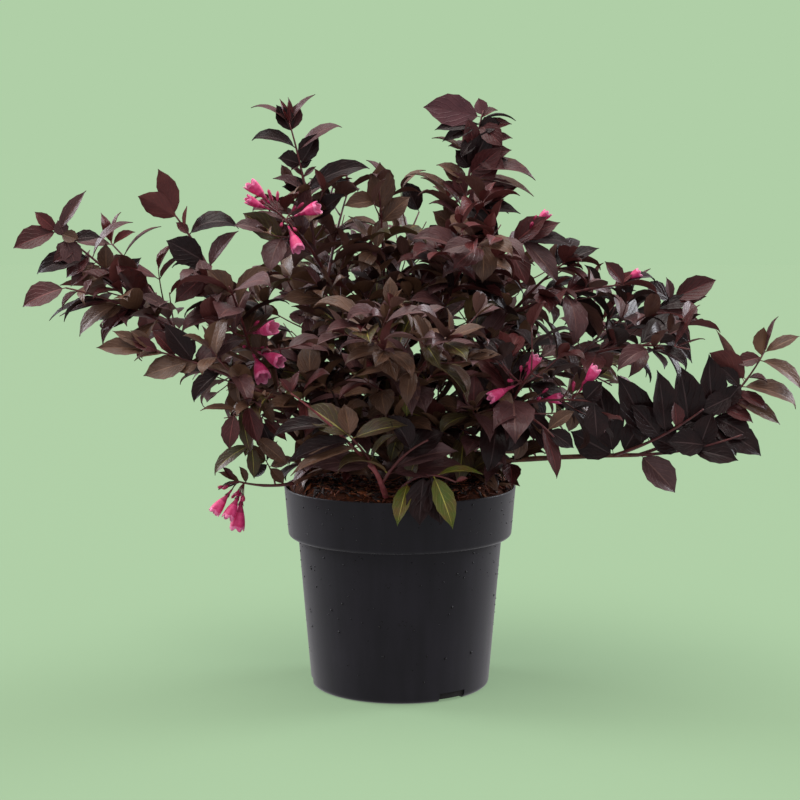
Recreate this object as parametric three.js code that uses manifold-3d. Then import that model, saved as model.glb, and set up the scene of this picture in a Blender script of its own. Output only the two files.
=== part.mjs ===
// A purple-leaved weigela with pink funnel flowers, grown in a round black nursery pot.
// Millimetres and degrees. +Z is up and -Y is the front. The origin is the middle of the pot's flat
// underside. A bearing is the compass angle from +X towards +Y, and a climb is the angle above level.
import * as THREE from "three";
import { mergeVertices } from "three/addons/utils/BufferGeometryUtils.js";
import Module from "manifold-3d";

const wasm = await Module();
wasm.setup();

// ---------------------------------------------------------------- driving dimensions

const GAP = 0.3; // clearance between neighbouring pieces

// Injection-moulded pot: a tapered body, a step, and a wider stiffening band up to the rim.
const POT = {
  height: 229,
  baseRadius: 102,
  baseCorner: 6,
  bodyTopRadius: 116,
  bodyTopHeight: 171,
  stepHeight: 10,
  bandFootRadius: 127.4,
  rimRadius: 131.8,
  rimRound: 1.4,
  wall: 2.2,
  floor: 2.6,
  facets: 32,
};
const NOTCH = { count: 3, first: -55, width: 34, height: 10, depth: 13 }; // feet between three air slots
const DRAIN = { count: 6, ring: 56, radius: 4, facets: 8 };

// Moist bark compost, heaped above the rim round the sides and the back, and flat round the stool.
const COMPOST = {
  edge: 223,
  heap: 245,
  heapRadius: 115,
  heapInside: 84,
  top: 238,
  topRadius: 42,
  dip: 0.6, // how much lower the heap is at the front, of its height
};

// The woody crown that the stems rise from.
const STOOL = { flareRadius: 31, waistRadius: 21, topRadius: 15, height: 27, facets: 10 };
const BUD = { out: 6, low: 8, high: 22 }; // where flat and steep boughs start inside the stool

// Wood: boughs taper from the foot to the tip, and stems and twigs carry on from them.
const BOUGH = { foot: 3.9, tip: 2.2, facets: 5, step: 55, forkStep: 14 };
const STEM = { foot: 2.1, tip: 1.4, facets: 3, step: 75 };
const TWIG = {
  foot: 1.6,
  tip: 1.2,
  facets: 3,
  step: 75,
  length: 62,
  internode: 52, // one pair of leaves for each, beside the pair at its tip
  spread: 48, // from its stem
  rise: 8, // how much steeper it ends
  bow: -0.06,
  axil: 4, // above its leaf
  taper: 0.4, // how much shorter the ones near a stem's tip are
  leafScale: 0.88,
  vary: { azimuth: 15, length: 0.2 }, // to either side
};

// Leaves stand in crossed pairs, more upright towards a shoot's tip.
const LEAF = {
  length: 66,
  width: 0.64, // of its length
  widest: 0.42, // of its length, from the base
  thick: 1.7,
  fold: 0.07, // how far the edges rise, of its length
  droop: 0.13, // how far the tip falls, of its length
  skyward: 0.62, // how much the upper face looks up and not along the shoot
  spread: 64, // from its stem, at the foot
  closing: 18, // how much less it spreads near the tip
  endSpread: 30,
  endSize: 0.72,
  endAlong: 0.985, // where the end pair stands
  sizes: [1, 0.85, 0.7], // tried in turn before a leaf is left out
  turns: [0, 24, -24],
  vary: { angle: 8, azimuth: 12, size: 0.15, roll: 18 }, // to either side
};
const INTERNODE = 34; // between the pairs of a stem
const REACH = 80; // how far a mass's space goes from its stem
const FLATTEN = 0.4; // how much of the upward and downward spread stays on a level limb

// Funnel flower on its stalk.
const FLOWER = { stalk: 12, length: 31, tube: 2.2, mouth: 10.5, facets: 5 };

// Every bough is one tapering limb that leaves the stool at its bearing and climb, or comes up through
// the compost beside it, with ground as the bearing and the distance of that place from the middle. bow
// is how far it arches up (+) or sags (-), as a part of its length. Each shoot on it carries one mass of
// foliage: the first goes on from the tip, and the next ones leave the bough a little below it. A bloom
// is its place along the shoot's stem, its bearing, its climb and its scale. vigour is the size of a
// shoot's leaves, bushy the size of its twigs and its space, and turn the azimuth of its lowest pair.
const BOUGHS = [
  {
    name: "left_leader", bearing: 175, climb: 68, length: 250, bow: 0.05,
    shoots: [
      { bearing: -165, climb: 79, length: 152, bow: 0.03, vigour: 0.9, turn: 60 },
      {
        bearing: -125, climb: 36, length: 120, bow: 0.08,
        blooms: [[0.85, -165, 50, 1], [0.83, -155, 20, 0.9], [0.7, -20, 20, 0.95], [0.73, -50, -50, 1]],
      },
      { bearing: 65, climb: 62, length: 115, bow: 0.05 },
    ],
  },
  {
    name: "centre", bearing: 115, climb: 78, length: 185, bow: 0.04,
    shoots: [
      { bearing: -100, climb: 73, length: 130, bow: 0.03 },
      { bearing: 55, climb: 60, length: 130, bow: 0.05, bushy: 1.3 },
    ],
  },
  {
    name: "right_leader", bearing: 0, climb: 74, length: 205, bow: 0.06,
    shoots: [
      { bearing: 0, climb: 80, length: 178, bow: -0.03, vigour: 1.2, turn: 60 },
      { bearing: -65, climb: 30, length: 145, bow: 0.1 },
      { bearing: -5, climb: 40, length: 145, bow: 0.06, blooms: [[0.88, 0, 50, 0.8]] },
    ],
  },
  {
    name: "left_arch", bearing: -165, climb: 38, length: 230, bow: 0.1,
    shoots: [
      { bearing: 160, climb: 61, length: 175, bow: 0.08, turn: 50 },
      {
        bearing: -105, climb: 49, length: 95, bow: 0.04,
        blooms: [[0.22, -45, 8, 1.1], [0.0, -40, -12, 1.15], [0.04, -60, -38, 1.15]],
      },
      { bearing: -80, climb: 6, length: 105, bow: 0.05 },
    ],
  },
  {
    name: "left_long", bearing: 180, climb: 31, length: 305, bow: 0.08,
    shoots: [
      { bearing: -175, climb: 43, length: 160, bow: 0.04, vigour: 1.1, turn: 30 },
      { bearing: 145, climb: 45, length: 140, bow: 0.05, bushy: 1.3 },
      { bearing: -150, climb: 22, length: 155, bow: 0.05 },
    ],
  },
  {
    name: "left_low", bearing: -150, climb: 29, length: 190, bow: 0.08,
    shoots: [
      { bearing: 180, climb: 21, length: 135, bow: 0.05, bushy: 1.2 },
      { bearing: -145, climb: -17, length: 55, bow: 0.08 },
    ],
  },
  {
    name: "left_skirt", bearing: -150, climb: -2, length: 130, bow: 0.12,
    shoots: [
      {
        bearing: -165, climb: 5, length: 66, bow: -0.08,
        blooms: [[0.93, -165, -50, 1], [0.83, -140, -60, 1], [0.83, 180, -80, 1.2]],
      },
    ],
  },
  {
    name: "front_spray", ground: [-97, 106], bearing: -125, climb: 58, length: 55, bow: 0.06,
    shoots: [
      { bearing: -140, climb: 48, length: 45, bow: 0.05, vigour: 1.25 },
      { bearing: -155, climb: 43, length: 135, bow: 0.04, vigour: 1.1 },
      { bearing: -35, climb: 41, length: 80, bow: 0.1, vigour: 1.15 },
    ],
  },
  {
    name: "front_rise", bearing: -85, climb: 48, length: 130, bow: 0.05,
    shoots: [
      { bearing: -115, climb: 34, length: 130, bow: 0.05, bushy: 1.2 },
      { bearing: -70, climb: 30, length: 140, bow: 0.05, bushy: 1.2 },
    ],
  },
  {
    name: "right_inner", bearing: -35, climb: 29, length: 160, bow: 0.1,
    shoots: [
      {
        bearing: -70, climb: 33, length: 105, bow: 0.05, vigour: 1.15,
        blooms: [[0.48, -160, -20, 1], [0.35, -20, 60, 0.9]],
      },
      {
        bearing: -30, climb: 7, length: 115, bow: 0.06, vigour: 1.1,
        blooms: [[0.35, -20, 10, 0.8], [0.78, -15, 50, 1]],
      },
      { bearing: -55, climb: -8, length: 115, bow: 0.14, vigour: 1.15 },
    ],
  },
  {
    name: "right_upper", bearing: 0, climb: 54, length: 220, bow: 0.06,
    shoots: [
      { bearing: -25, climb: 42, length: 75, bow: 0.04 },
      { bearing: -30, climb: 15, length: 145, bow: 0.06, blooms: [[0.93, 0, 30, 0.7]] },
    ],
  },
  {
    name: "right_arch", bearing: -5, climb: 31, length: 255, bow: 0.08,
    shoots: [
      { bearing: 5, climb: 35, length: 105, bow: 0.05, turn: 40 },
      { bearing: -40, climb: 6, length: 135, bow: 0.08 },
      { bearing: 50, climb: 22, length: 135, bow: 0.04, bushy: 1.3 },
    ],
  },
  {
    name: "right_long", bearing: -10, climb: 5, length: 265, bow: 0.016,
    shoots: [
      { bearing: 5, climb: 39, length: 180, bow: -0.14, vigour: 1.1 },
      { bearing: -15, climb: 12, length: 130, bow: -0.06, vigour: 1.15 },
      { bearing: -45, climb: 27, length: 135, bow: -0.05, vigour: 1.2 },
    ],
  },
  {
    name: "back_left", bearing: 125, climb: 36, length: 215, bow: 0.08,
    shoots: [
      { bearing: 115, climb: 43, length: 120, bow: 0.05, bushy: 1.4 },
      { bearing: 60, climb: 77, length: 155, bow: 0.03, bushy: 1.2 },
      { bearing: 160, climb: -15, length: 150, bow: 0.1, bushy: 1.5 },
    ],
  },
  {
    name: "back_right", bearing: 55, climb: 35, length: 220, bow: 0.08,
    shoots: [
      { bearing: 60, climb: 43, length: 130, bow: 0.05, bushy: 1.4 },
      { bearing: 135, climb: 74, length: 155, bow: 0.03, bushy: 1.2 },
      { bearing: 10, climb: -13, length: 175, bow: 0.1, bushy: 1.5 },
    ],
  },
];

// Shoots that leave the stool or the compost itself.
const SUCKERS = [
  { name: "front_sucker", ground: [-95, 110], bearing: -30, climb: 22, length: 85, bow: 0.3 },
  { name: "back_mid", bearing: 90, climb: 40, length: 275, bow: 0.1, bushy: 1.4 },
  { name: "back_low", bearing: 85, climb: 10, length: 240, bow: 0.14, bushy: 1.6 },
];

// ---------------------------------------------------------------- materials

function finish(color, roughness) {
  return new THREE.MeshStandardMaterial({ color, roughness, metalness: 0 });
}
const POLYPROPYLENE = finish(0x26272b, 0.5);
const PEAT = finish(0x4a2c20, 0.95);
const BARK = finish(0x52342b, 0.85);
const PURPLE_LEAF = finish(0x40262c, 0.55);

// ---------------------------------------------------------------- solids and nodes

// A closed geometry as a solid that can be joined and cut.
function solidOf(geometry) {
  geometry.deleteAttribute("normal");
  geometry.deleteAttribute("uv");
  const { attributes, index } = mergeVertices(geometry, 1e-4);
  const mesh = new wasm.Mesh({
    numProp: 3,
    vertProperties: attributes.position.array,
    triVerts: new Uint32Array(index.array),
  });
  return new wasm.Manifold(mesh);
}

// The one body that counts: sealed hollows are filled and loose scraps dropped.
function mainBody(solid) {
  return solid.decompose().reduce((a, b) => (b.volume() > a.volume() ? b : a));
}

const shrub = new THREE.Group();

function addNode(name, solid, material) {
  const { vertProperties, triVerts } = solid.getMesh();
  const geometry = new THREE.BufferGeometry();
  geometry.setAttribute("position", new THREE.BufferAttribute(vertProperties, 3));
  geometry.setIndex(new THREE.BufferAttribute(triVerts, 1));
  geometry.computeVertexNormals();
  const mesh = new THREE.Mesh(geometry, material);
  mesh.name = name;
  shrub.add(mesh);
}

// A solid turned round the Z axis from its half section, [radius, height] from the axis to the axis.
function turned(section, facets) {
  const points = section.map(([radius, height]) => new THREE.Vector2(radius, height));
  return new THREE.LatheGeometry(points, facets).rotateX(Math.PI / 2);
}

const radians = THREE.MathUtils.degToRad;

function heading(bearing, climb) {
  const level = Math.cos(radians(climb));
  return new THREE.Vector3(
    level * Math.cos(radians(bearing)),
    level * Math.sin(radians(bearing)),
    Math.sin(radians(climb)),
  );
}

// ---------------------------------------------------------------- pot

// The inside of the pot's wall from the floor to the rim, moved inwards by a clearance.
function insideWall(clearance) {
  const inset = POT.wall + clearance;
  const stepTop = POT.bodyTopHeight + POT.stepHeight;
  return [
    [POT.baseRadius - inset, POT.floor + clearance],
    [POT.bodyTopRadius - inset, POT.bodyTopHeight + POT.wall],
    [POT.bandFootRadius - inset, stepTop + POT.wall],
    [POT.rimRadius - inset, POT.height],
  ];
}

function makePot() {
  const { height, baseRadius, baseCorner, bodyTopRadius, bodyTopHeight, stepHeight } = POT;
  const { bandFootRadius, rimRadius, rimRound, wall } = POT;
  const inside = insideWall(0);
  const outside = [
    [0, 0],
    [baseRadius - baseCorner, 0],
    [baseRadius - baseCorner * 0.3, baseCorner * 0.3],
    [baseRadius, baseCorner],
    [bodyTopRadius, bodyTopHeight],
    [bandFootRadius - stepHeight * 0.5, bodyTopHeight + stepHeight * 0.25],
    [bandFootRadius - rimRound, bodyTopHeight + stepHeight * 0.6],
    [bandFootRadius, bodyTopHeight + stepHeight],
    [rimRadius - rimRound / 2, height - 3 * rimRound],
    [rimRadius, height - rimRound],
    [rimRadius - wall / 2, height],
  ];
  const lip = [rimRadius - wall, height - rimRound];
  const section = [...outside, lip, ...inside.slice(0, 3).reverse(), [0, POT.floor]];
  let pot = solidOf(turned(section, POT.facets));
  for (let i = 0; i < NOTCH.count; i += 1) {
    const slot = new THREE.BoxGeometry(2 * NOTCH.depth, NOTCH.width, 2 * NOTCH.height);
    slot.translate(baseRadius, 0, 0);
    slot.rotateZ(radians(NOTCH.first + (360 * i) / NOTCH.count));
    pot = pot.subtract(solidOf(slot));
  }
  for (let i = 0; i < DRAIN.count; i += 1) {
    const hole = new THREE.CylinderGeometry(DRAIN.radius, DRAIN.radius, 4 * POT.floor, DRAIN.facets);
    hole.rotateX(Math.PI / 2);
    hole.translate(DRAIN.ring, 0, 0);
    hole.rotateZ(radians((360 * i) / DRAIN.count));
    pot = pot.subtract(solidOf(hole));
  }
  return pot;
}

// ---------------------------------------------------------------- compost and stool

function makeCompost() {
  const wall = insideWall(GAP).slice(0, 3);
  const { edge, heap, heapRadius, heapInside, top, topRadius, dip } = COMPOST;
  const bandFoot = POT.bodyTopHeight + POT.stepHeight;
  const bandSlope = (POT.rimRadius - POT.bandFootRadius) / (POT.height - bandFoot);
  const edgeRadius = POT.bandFootRadius + bandSlope * (edge - bandFoot) - POT.wall - 2 * GAP;
  const section = [
    [0, POT.floor + GAP],
    ...wall,
    [edgeRadius, edge],
    [heapRadius, heap],
    [heapInside, heap],
    [topRadius, top],
    [0, top],
  ];
  const mound = turned(section, POT.facets);
  const corner = mound.attributes.position;
  for (let i = 0; i < corner.count; i += 1) {
    if (Math.abs(corner.getZ(i) - heap) > GAP) continue;
    const front = Math.max(0, -corner.getY(i) / Math.hypot(corner.getX(i), corner.getY(i)));
    corner.setZ(i, edge + (heap - edge) * (1 - dip * front));
  }
  return solidOf(mound);
}

// The stool from its flat cut on the compost, moved outwards by a clearance.
function makeStool(clearance) {
  const { flareRadius, waistRadius, topRadius, height, facets } = STOOL;
  const foot = COMPOST.top + GAP;
  const section = [
    [0, foot - clearance],
    [flareRadius + clearance, foot - clearance],
    [flareRadius * 0.88 + clearance, foot + height * 0.15],
    [waistRadius + clearance, foot + height * 0.5],
    [topRadius + clearance, foot + height * 0.92 + clearance],
    [0, foot + height + clearance],
  ];
  return solidOf(turned(section, facets));
}

// ---------------------------------------------------------------- limbs

// A limb's centre line: a cubic curve in the upright plane of its bearing.
function centreLine({ bearing, climb, length, bow }, start) {
  const along = heading(bearing, climb).multiplyScalar(length);
  const lift = heading(bearing, climb + 90).multiplyScalar(length * bow);
  const third = (part) => start.clone().addScaledVector(along, part).add(lift);
  const end = start.clone().add(along);
  const curve = new THREE.CubicBezierCurve3(start.clone(), third(1 / 3), third(2 / 3), end);
  curve.side = heading(bearing - 90, 0); // square to the plane of the curve
  return curve;
}

// A closed, tapering limb with flat ends along a centre line, moved outwards by a clearance.
function limb(curve, { foot, tip, facets, step }, clearance = 0) {
  const steps = Math.ceil(curve.getLength() / step);
  const radii = [tip + clearance, foot + clearance];
  const geometry = new THREE.CylinderGeometry(...radii, 1, facets, steps);
  const corner = geometry.attributes.position;
  for (let i = 0; i < corner.count; i += 1) {
    const along = corner.getY(i) + 0.5;
    const forward = curve.getTangent(along);
    const across = new THREE.Vector3().crossVectors(curve.side, forward);
    const point = curve.getPoint(along);
    point.addScaledVector(curve.side, corner.getX(i)).addScaledVector(across, corner.getZ(i));
    if (along > 0.999) point.addScaledVector(forward, clearance);
    corner.setXYZ(i, point.x, point.y, point.z);
  }
  return solidOf(geometry);
}

// Where a limb starts: under the compost's surface, or inside the stool, where steep ones rise from its
// top and flat ones from its flank.
function footOf({ bearing, climb, ground }) {
  if (ground) return heading(ground[0], 0).multiplyScalar(ground[1]).setZ(COMPOST.edge);
  const foot = heading(bearing, 0).multiplyScalar(BUD.out * Math.cos(radians(climb)));
  foot.z = COMPOST.top + BUD.low + ((BUD.high - BUD.low) * climb) / 90;
  return foot;
}

// ---------------------------------------------------------------- keeping clear

// Pieces that later ones keep clear of. A piece may touch only what it grows from, so each has a key,
// and a new piece names the keys that it joins.
const placed = [];

function place(key, solid) {
  const { min, max } = solid.boundingBox();
  placed.push({ key, solid, min, max });
}

function boxesNear(a, b) {
  return [0, 1, 2].every((i) => a.min[i] - GAP < b.max[i] && b.min[i] - GAP < a.max[i]);
}

function isClear(solid, joins) {
  const box = solid.boundingBox();
  return !placed.some((other) => {
    if (joins.includes(other.key) || !boxesNear(box, other)) return false;
    return solid.minGap(other.solid, 2 * GAP) < GAP;
  });
}

// ---------------------------------------------------------------- foliage

// The same run of numbers from 0 to 1 every time for one seed.
function seeded(seed) {
  let state = (seed * 7919 + 104729) % 4294967296;
  return () => {
    state = (state * 1664525 + 1013904223) % 4294967296;
    return state / 4294967296;
  };
}

// A number between a limit to either side of nothing.
function vary(limit, random) {
  return limit * (2 * random() - 1);
}

// A direction out of a limb, at an angle to it and at an azimuth round it. On a flat limb the leaves
// and twigs spread sideways, where the light is.
function outOf(curve, along, angle, azimuth) {
  const forward = curve.getTangent(along);
  const across = new THREE.Vector3().crossVectors(curve.side, forward);
  const out = curve.side.clone().multiplyScalar(Math.cos(radians(azimuth)));
  out.addScaledVector(across, Math.sin(radians(azimuth)));
  out.z *= FLATTEN + (1 - FLATTEN) * Math.abs(forward.z);
  out.normalize();
  forward.multiplyScalar(Math.cos(radians(angle)));
  return forward.addScaledVector(out, Math.sin(radians(angle))).normalize();
}

// A leaf of eight faces, whose root sits in the middle of its stem and which points along a direction.
// Its upper face looks between the sky and the shoot's tip, and roll tips it to one side.
function leaf(root, direction, forward, size, roll) {
  const length = LEAF.length * size;
  const upper = new THREE.Vector3(0, 0, LEAF.skyward).addScaledVector(forward, 1 - LEAF.skyward);
  upper.addScaledVector(direction, -upper.dot(direction)).normalize();
  upper.applyAxisAngle(direction, radians(roll));
  const side = new THREE.Vector3().crossVectors(upper, direction);
  const frame = new THREE.Matrix4().makeBasis(direction, side, upper);
  frame.setPosition(root);
  const geometry = new THREE.OctahedronGeometry(1, 0);
  const corner = geometry.attributes.position;
  for (let i = 0; i < corner.count; i += 1) {
    const [x, y, z] = [corner.getX(i), corner.getY(i), corner.getZ(i)];
    const along = LEAF.widest + x * (x > 0 ? 1 - LEAF.widest : LEAF.widest);
    const height = (z * LEAF.thick) / 2 + Math.abs(y) * LEAF.fold * length;
    const droop = x > 0 ? LEAF.droop * length : 0;
    corner.setXYZ(i, along * length, (y * LEAF.width * length) / 2, height - droop);
  }
  geometry.applyMatrix4(frame);
  return solidOf(geometry);
}

// A funnel flower on a short stalk, which opens along its direction.
function flower(root, bearing, climb, scale) {
  const stalk = centreLine({ bearing, climb, length: FLOWER.stalk * scale, bow: 0 }, root);
  const { length, tube, mouth, facets } = FLOWER;
  const section = [
    [0, -tube],
    [tube, 0],
    [mouth * 0.45, length * 0.55],
    [mouth, length],
    [0, length * 0.75],
  ];
  const funnel = turned(section, facets).scale(scale, scale, scale);
  const upright = new THREE.Vector3(0, 0, 1);
  funnel.applyQuaternion(new THREE.Quaternion().setFromUnitVectors(upright, heading(bearing, climb)));
  const end = stalk.getPoint(1);
  funnel.translate(end.x, end.y, end.z);
  return solidOf(funnel).add(limb(stalk, TWIG));
}

// How far along a limb its node of this number stands.
function alongAt(node, nodes) {
  return (node + 0.55) / nodes;
}

// Twigs leave a stem in the axils of every second pair of leaves, to alternate sides.
function growTwigs(shoot) {
  const twigs = [];
  for (let node = 0; node < shoot.nodes - 2; node += 2) {
    const random = seeded(100 * shoot.number + node);
    const axil = alongAt(node, shoot.nodes) + TWIG.axil / shoot.length;
    const vigour = shoot.bushy * (1 + vary(TWIG.vary.length, random));
    const length = TWIG.length * vigour * (1 - TWIG.taper * axil);
    const side = 180 * ((node / 2) % 2);
    const azimuth = shoot.azimuth + 90 * node + side + vary(TWIG.vary.azimuth, random);
    const out = outOf(shoot.curve, axil, TWIG.spread, azimuth);
    const bearing = THREE.MathUtils.radToDeg(Math.atan2(out.y, out.x));
    const climb = THREE.MathUtils.radToDeg(Math.asin(out.z)) + TWIG.rise;
    const curve = centreLine({ bearing, climb, length, bow: TWIG.bow }, shoot.curve.getPoint(axil));
    const solid = limb(curve, TWIG);
    const key = `${shoot.name} twig ${node}`;
    if (!isClear(solid, [shoot.name])) continue;
    place(key, solid);
    const nodes = Math.floor(length / TWIG.internode);
    twigs.push({ key, curve, solid, nodes, azimuth: 180 * random(), random });
  }
  return twigs;
}

function withinReach(shoot, point) {
  return shoot.curve.getPoints(8).some((on) => on.distanceTo(point) < REACH * shoot.bushy);
}

// The largest leaf that stays clear at its place, turned a little round its limb if need be.
function fitLeaf(shoot, limbKey, curve, spot) {
  const root = curve.getPoint(spot.along);
  const forward = curve.getTangent(spot.along);
  const key = `${limbKey} node ${spot.node}`;
  for (const smaller of LEAF.sizes) {
    for (const turn of LEAF.turns) {
      const direction = outOf(curve, spot.along, spot.angle, spot.azimuth + turn);
      const size = spot.size * smaller;
      const tip = root.clone().addScaledVector(direction, LEAF.length * size);
      const solid = leaf(root, direction, forward, size, spot.roll);
      if (!withinReach(shoot, tip) || !isClear(solid, [limbKey, key])) continue;
      place(key, solid);
      return [solid];
    }
  }
  return [];
}

// Crossed pairs of leaves up a limb, and an upright pair at its tip.
function dressLimb(shoot, limbKey, { curve, nodes, azimuth, random }, scale) {
  const leaves = [];
  for (let node = 0; node <= nodes; node += 1) {
    const isEnd = node === nodes;
    const along = isEnd ? LEAF.endAlong : alongAt(node, nodes);
    const angle = isEnd ? LEAF.endSpread : LEAF.spread - LEAF.closing * along;
    for (const half of [0, 180]) {
      const spot = {
        node,
        along,
        angle: angle + vary(LEAF.vary.angle, random),
        azimuth: azimuth + 90 * node + half + vary(LEAF.vary.azimuth, random),
        size: scale * (isEnd ? LEAF.endSize : 1 + vary(LEAF.vary.size, random)),
        roll: vary(LEAF.vary.roll, random),
      };
      leaves.push(...fitLeaf(shoot, limbKey, curve, spot));
    }
  }
  return leaves;
}

// ---------------------------------------------------------------- assembly

const pot = makePot();
const compost = makeCompost();
const stool = makeStool(0);
addNode("pot", pot, POLYPROPYLENE);
addNode("compost", compost, PEAT);
addNode("stool", stool, BARK);
place("pot", pot);
place("compost", compost);
place("stool", stool);

// Each bough and each stem is cut clear of the stool, the compost and the limbs before it.
let limbsSoFar = makeStool(GAP).add(compost.translate(0, 0, GAP));
const shoots = [];

for (const bough of BOUGHS) {
  bough.curve = centreLine(bough, footOf(bough));
  const solid = mainBody(limb(bough.curve, BOUGH).subtract(limbsSoFar));
  limbsSoFar = limbsSoFar.add(limb(bough.curve, BOUGH, GAP));
  addNode(`bough_${bough.name}`, solid, BARK);
  place(`bough_${bough.name}`, solid);
}

function startShoot(name, line, start) {
  const number = shoots.length + 1;
  const random = seeded(number);
  const nodes = Math.max(2, Math.round(line.length / INTERNODE));
  const curve = centreLine(line, start);
  const stem = mainBody(limb(curve, STEM).subtract(limbsSoFar));
  limbsSoFar = limbsSoFar.add(limb(curve, STEM, GAP));
  place(name, stem);
  const azimuth = line.turn ?? 180 * random();
  const usual = { blooms: [], vigour: 1, bushy: 1 };
  shoots.push({ ...usual, ...line, name, number, random, nodes, curve, stem, azimuth });
}

for (const { name, curve, length, shoots: lines } of BOUGHS) {
  lines.forEach((line, i) => {
    const start = curve.getPoint(1 - (i * BOUGH.forkStep) / length);
    startShoot(`foliage_${name}_${i + 1}`, line, start);
  });
}
for (const line of SUCKERS) startShoot(`foliage_${line.name}`, line, footOf(line));

for (const shoot of shoots) shoot.twigs = growTwigs(shoot);
for (const shoot of shoots) {
  shoot.flowers = [];
  shoot.blooms.forEach(([along, bearing, climb, scale], i) => {
    const solid = flower(shoot.curve.getPoint(along), bearing, climb, scale);
    if (!isClear(solid, [shoot.name])) return;
    place(`${shoot.name} bloom ${i}`, solid);
    shoot.flowers.push(solid);
  });
}
for (const shoot of shoots) {
  const leaves = dressLimb(shoot, shoot.name, shoot, shoot.vigour);
  for (const twig of shoot.twigs) {
    leaves.push(...dressLimb(shoot, twig.key, twig, shoot.vigour * TWIG.leafScale));
  }
  const twigs = shoot.twigs.map((twig) => twig.solid);
  const mass = wasm.Manifold.union([shoot.stem, ...twigs, ...shoot.flowers, ...leaves]);
  addNode(shoot.name, mainBody(mass.asOriginal().simplify(0.02)), PURPLE_LEAF);
}

export default shrub;
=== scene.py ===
"""A purple-leaved weigela in a round black nursery pot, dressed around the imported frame.

Metres and degrees. +Z is up and -Y is the front. The origin is the middle of the pot's underside. A
bearing is the compass angle from +X towards +Y, and a climb is the angle above level.
"""
import math
import random

import bpy
import numpy as np
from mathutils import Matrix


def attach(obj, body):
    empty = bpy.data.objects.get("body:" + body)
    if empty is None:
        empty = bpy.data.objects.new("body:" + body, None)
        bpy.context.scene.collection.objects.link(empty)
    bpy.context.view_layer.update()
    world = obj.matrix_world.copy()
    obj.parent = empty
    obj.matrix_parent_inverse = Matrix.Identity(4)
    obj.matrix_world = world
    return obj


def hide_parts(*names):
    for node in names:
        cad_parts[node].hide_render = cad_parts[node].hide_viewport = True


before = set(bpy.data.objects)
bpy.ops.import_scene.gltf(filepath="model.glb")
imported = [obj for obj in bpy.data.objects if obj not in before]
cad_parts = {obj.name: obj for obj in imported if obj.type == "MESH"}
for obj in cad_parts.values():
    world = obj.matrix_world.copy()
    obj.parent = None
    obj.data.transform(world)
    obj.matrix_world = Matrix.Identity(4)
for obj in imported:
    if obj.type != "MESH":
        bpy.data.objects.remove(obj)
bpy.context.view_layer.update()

# ------------------------------------------------------------------------------------------ camera
# A catalogue view through a long lens, from a little above the plant's middle: it looks down slightly,
# on the pot's rim and the compost.

CAMERA = {"distance": 2.05, "height": 0.545, "pitch": 6.09, "lens": 81.7, "sensor": 36.0}

camera = bpy.data.objects.new("camera", bpy.data.cameras.new("camera"))
bpy.context.scene.collection.objects.link(camera)
camera.location = (0, -CAMERA["distance"], CAMERA["height"])
camera.rotation_euler = (math.radians(90 - CAMERA["pitch"]), 0, 0)
camera.data.lens = CAMERA["lens"]
camera.data.sensor_width = CAMERA["sensor"]
bpy.context.scene.camera = camera

# ------------------------------------------------------------------------------------------ studio
# A pale green painted floor that runs out of sight, one broad soft lamp high in front on the left,
# and a narrower one at each back corner that draws the outlines of the pot and the leaves.

MM = 0.001
STUDIO = {
    "paint": "#B0CFA7",
    "matt": 0.27,
    "glow": 0.44,
    "grain": 2.5 * MM,
    "relief": 0.02,
    "size": 30.0,
    "room": "#F4F2F4",
    "room_strength": 0.62,
}
LAMPS = [
    {"name": "key", "strength": 2.85, "spread": 60, "climb": 79, "bearing": -135, "colour": "#FFFBF5"},
    {"name": "left_back", "strength": 2.8, "spread": 30, "climb": 24, "bearing": 158, "colour": "#F6F8FF"},
    {"name": "right_back", "strength": 2.8, "spread": 30, "climb": 24, "bearing": 22, "colour": "#F6F8FF"},
]


def linear(hex_colour):
    """The linear colour of an sRGB hex value, with full alpha."""
    shares = [int(hex_colour[i : i + 2], 16) / 255 for i in (1, 3, 5)]
    bright = [s / 12.92 if s <= 0.04045 else ((s + 0.055) / 1.055) ** 2.4 for s in shares]
    return (*bright, 1.0)


def add_node(tree, kind, inputs=None, **settings):
    """Adds a node. inputs maps its sockets to values, or to the sockets that feed them."""
    node = tree.nodes.new(kind)
    for name, value in settings.items():
        setattr(node, name, value)
    for socket, value in (inputs or {}).items():
        if isinstance(value, bpy.types.NodeSocket):
            tree.links.new(value, node.inputs[socket])
        else:
            node.inputs[socket].default_value = value
    return node


def new_material(name):
    """A material with its node tree, its shader and the socket of its Object coordinates."""
    material = bpy.data.materials.new(name)
    material.use_nodes = True
    tree = material.node_tree
    place = add_node(tree, "ShaderNodeTexCoord").outputs["Object"]
    return material, tree, tree.nodes["Principled BSDF"], place


def painted_floor():
    """Matt emulsion paint, with a faint roller texture. It looks evenly lit and gives no shine."""
    material, tree, shader, place = new_material("painted_floor")
    grain = add_node(tree, "ShaderNodeTexNoise", {"Vector": place, "Scale": 1 / STUDIO["grain"]})
    bump = add_node(tree, "ShaderNodeBump", {"Height": grain.outputs["Fac"], "Strength": STUDIO["relief"]})
    tree.links.new(bump.outputs["Normal"], shader.inputs["Normal"])
    lit = [channel * STUDIO["matt"] for channel in linear(STUDIO["paint"])[:3]]
    shader.inputs["Base Color"].default_value = (*lit, 1.0)
    shader.inputs["Emission Color"].default_value = linear(STUDIO["paint"])
    shader.inputs["Emission Strength"].default_value = STUDIO["glow"]
    shader.inputs["Roughness"].default_value = 1.0
    shader.inputs["Specular IOR Level"].default_value = 0.0
    return material


bpy.ops.object.select_all(action="DESELECT")
bpy.ops.mesh.primitive_plane_add(size=STUDIO["size"], location=(0, 0, 0))
floor = bpy.context.object
floor.name = "studio_floor"
floor.data.materials.append(painted_floor())
floor.visible_diffuse = floor.visible_glossy = False

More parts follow.
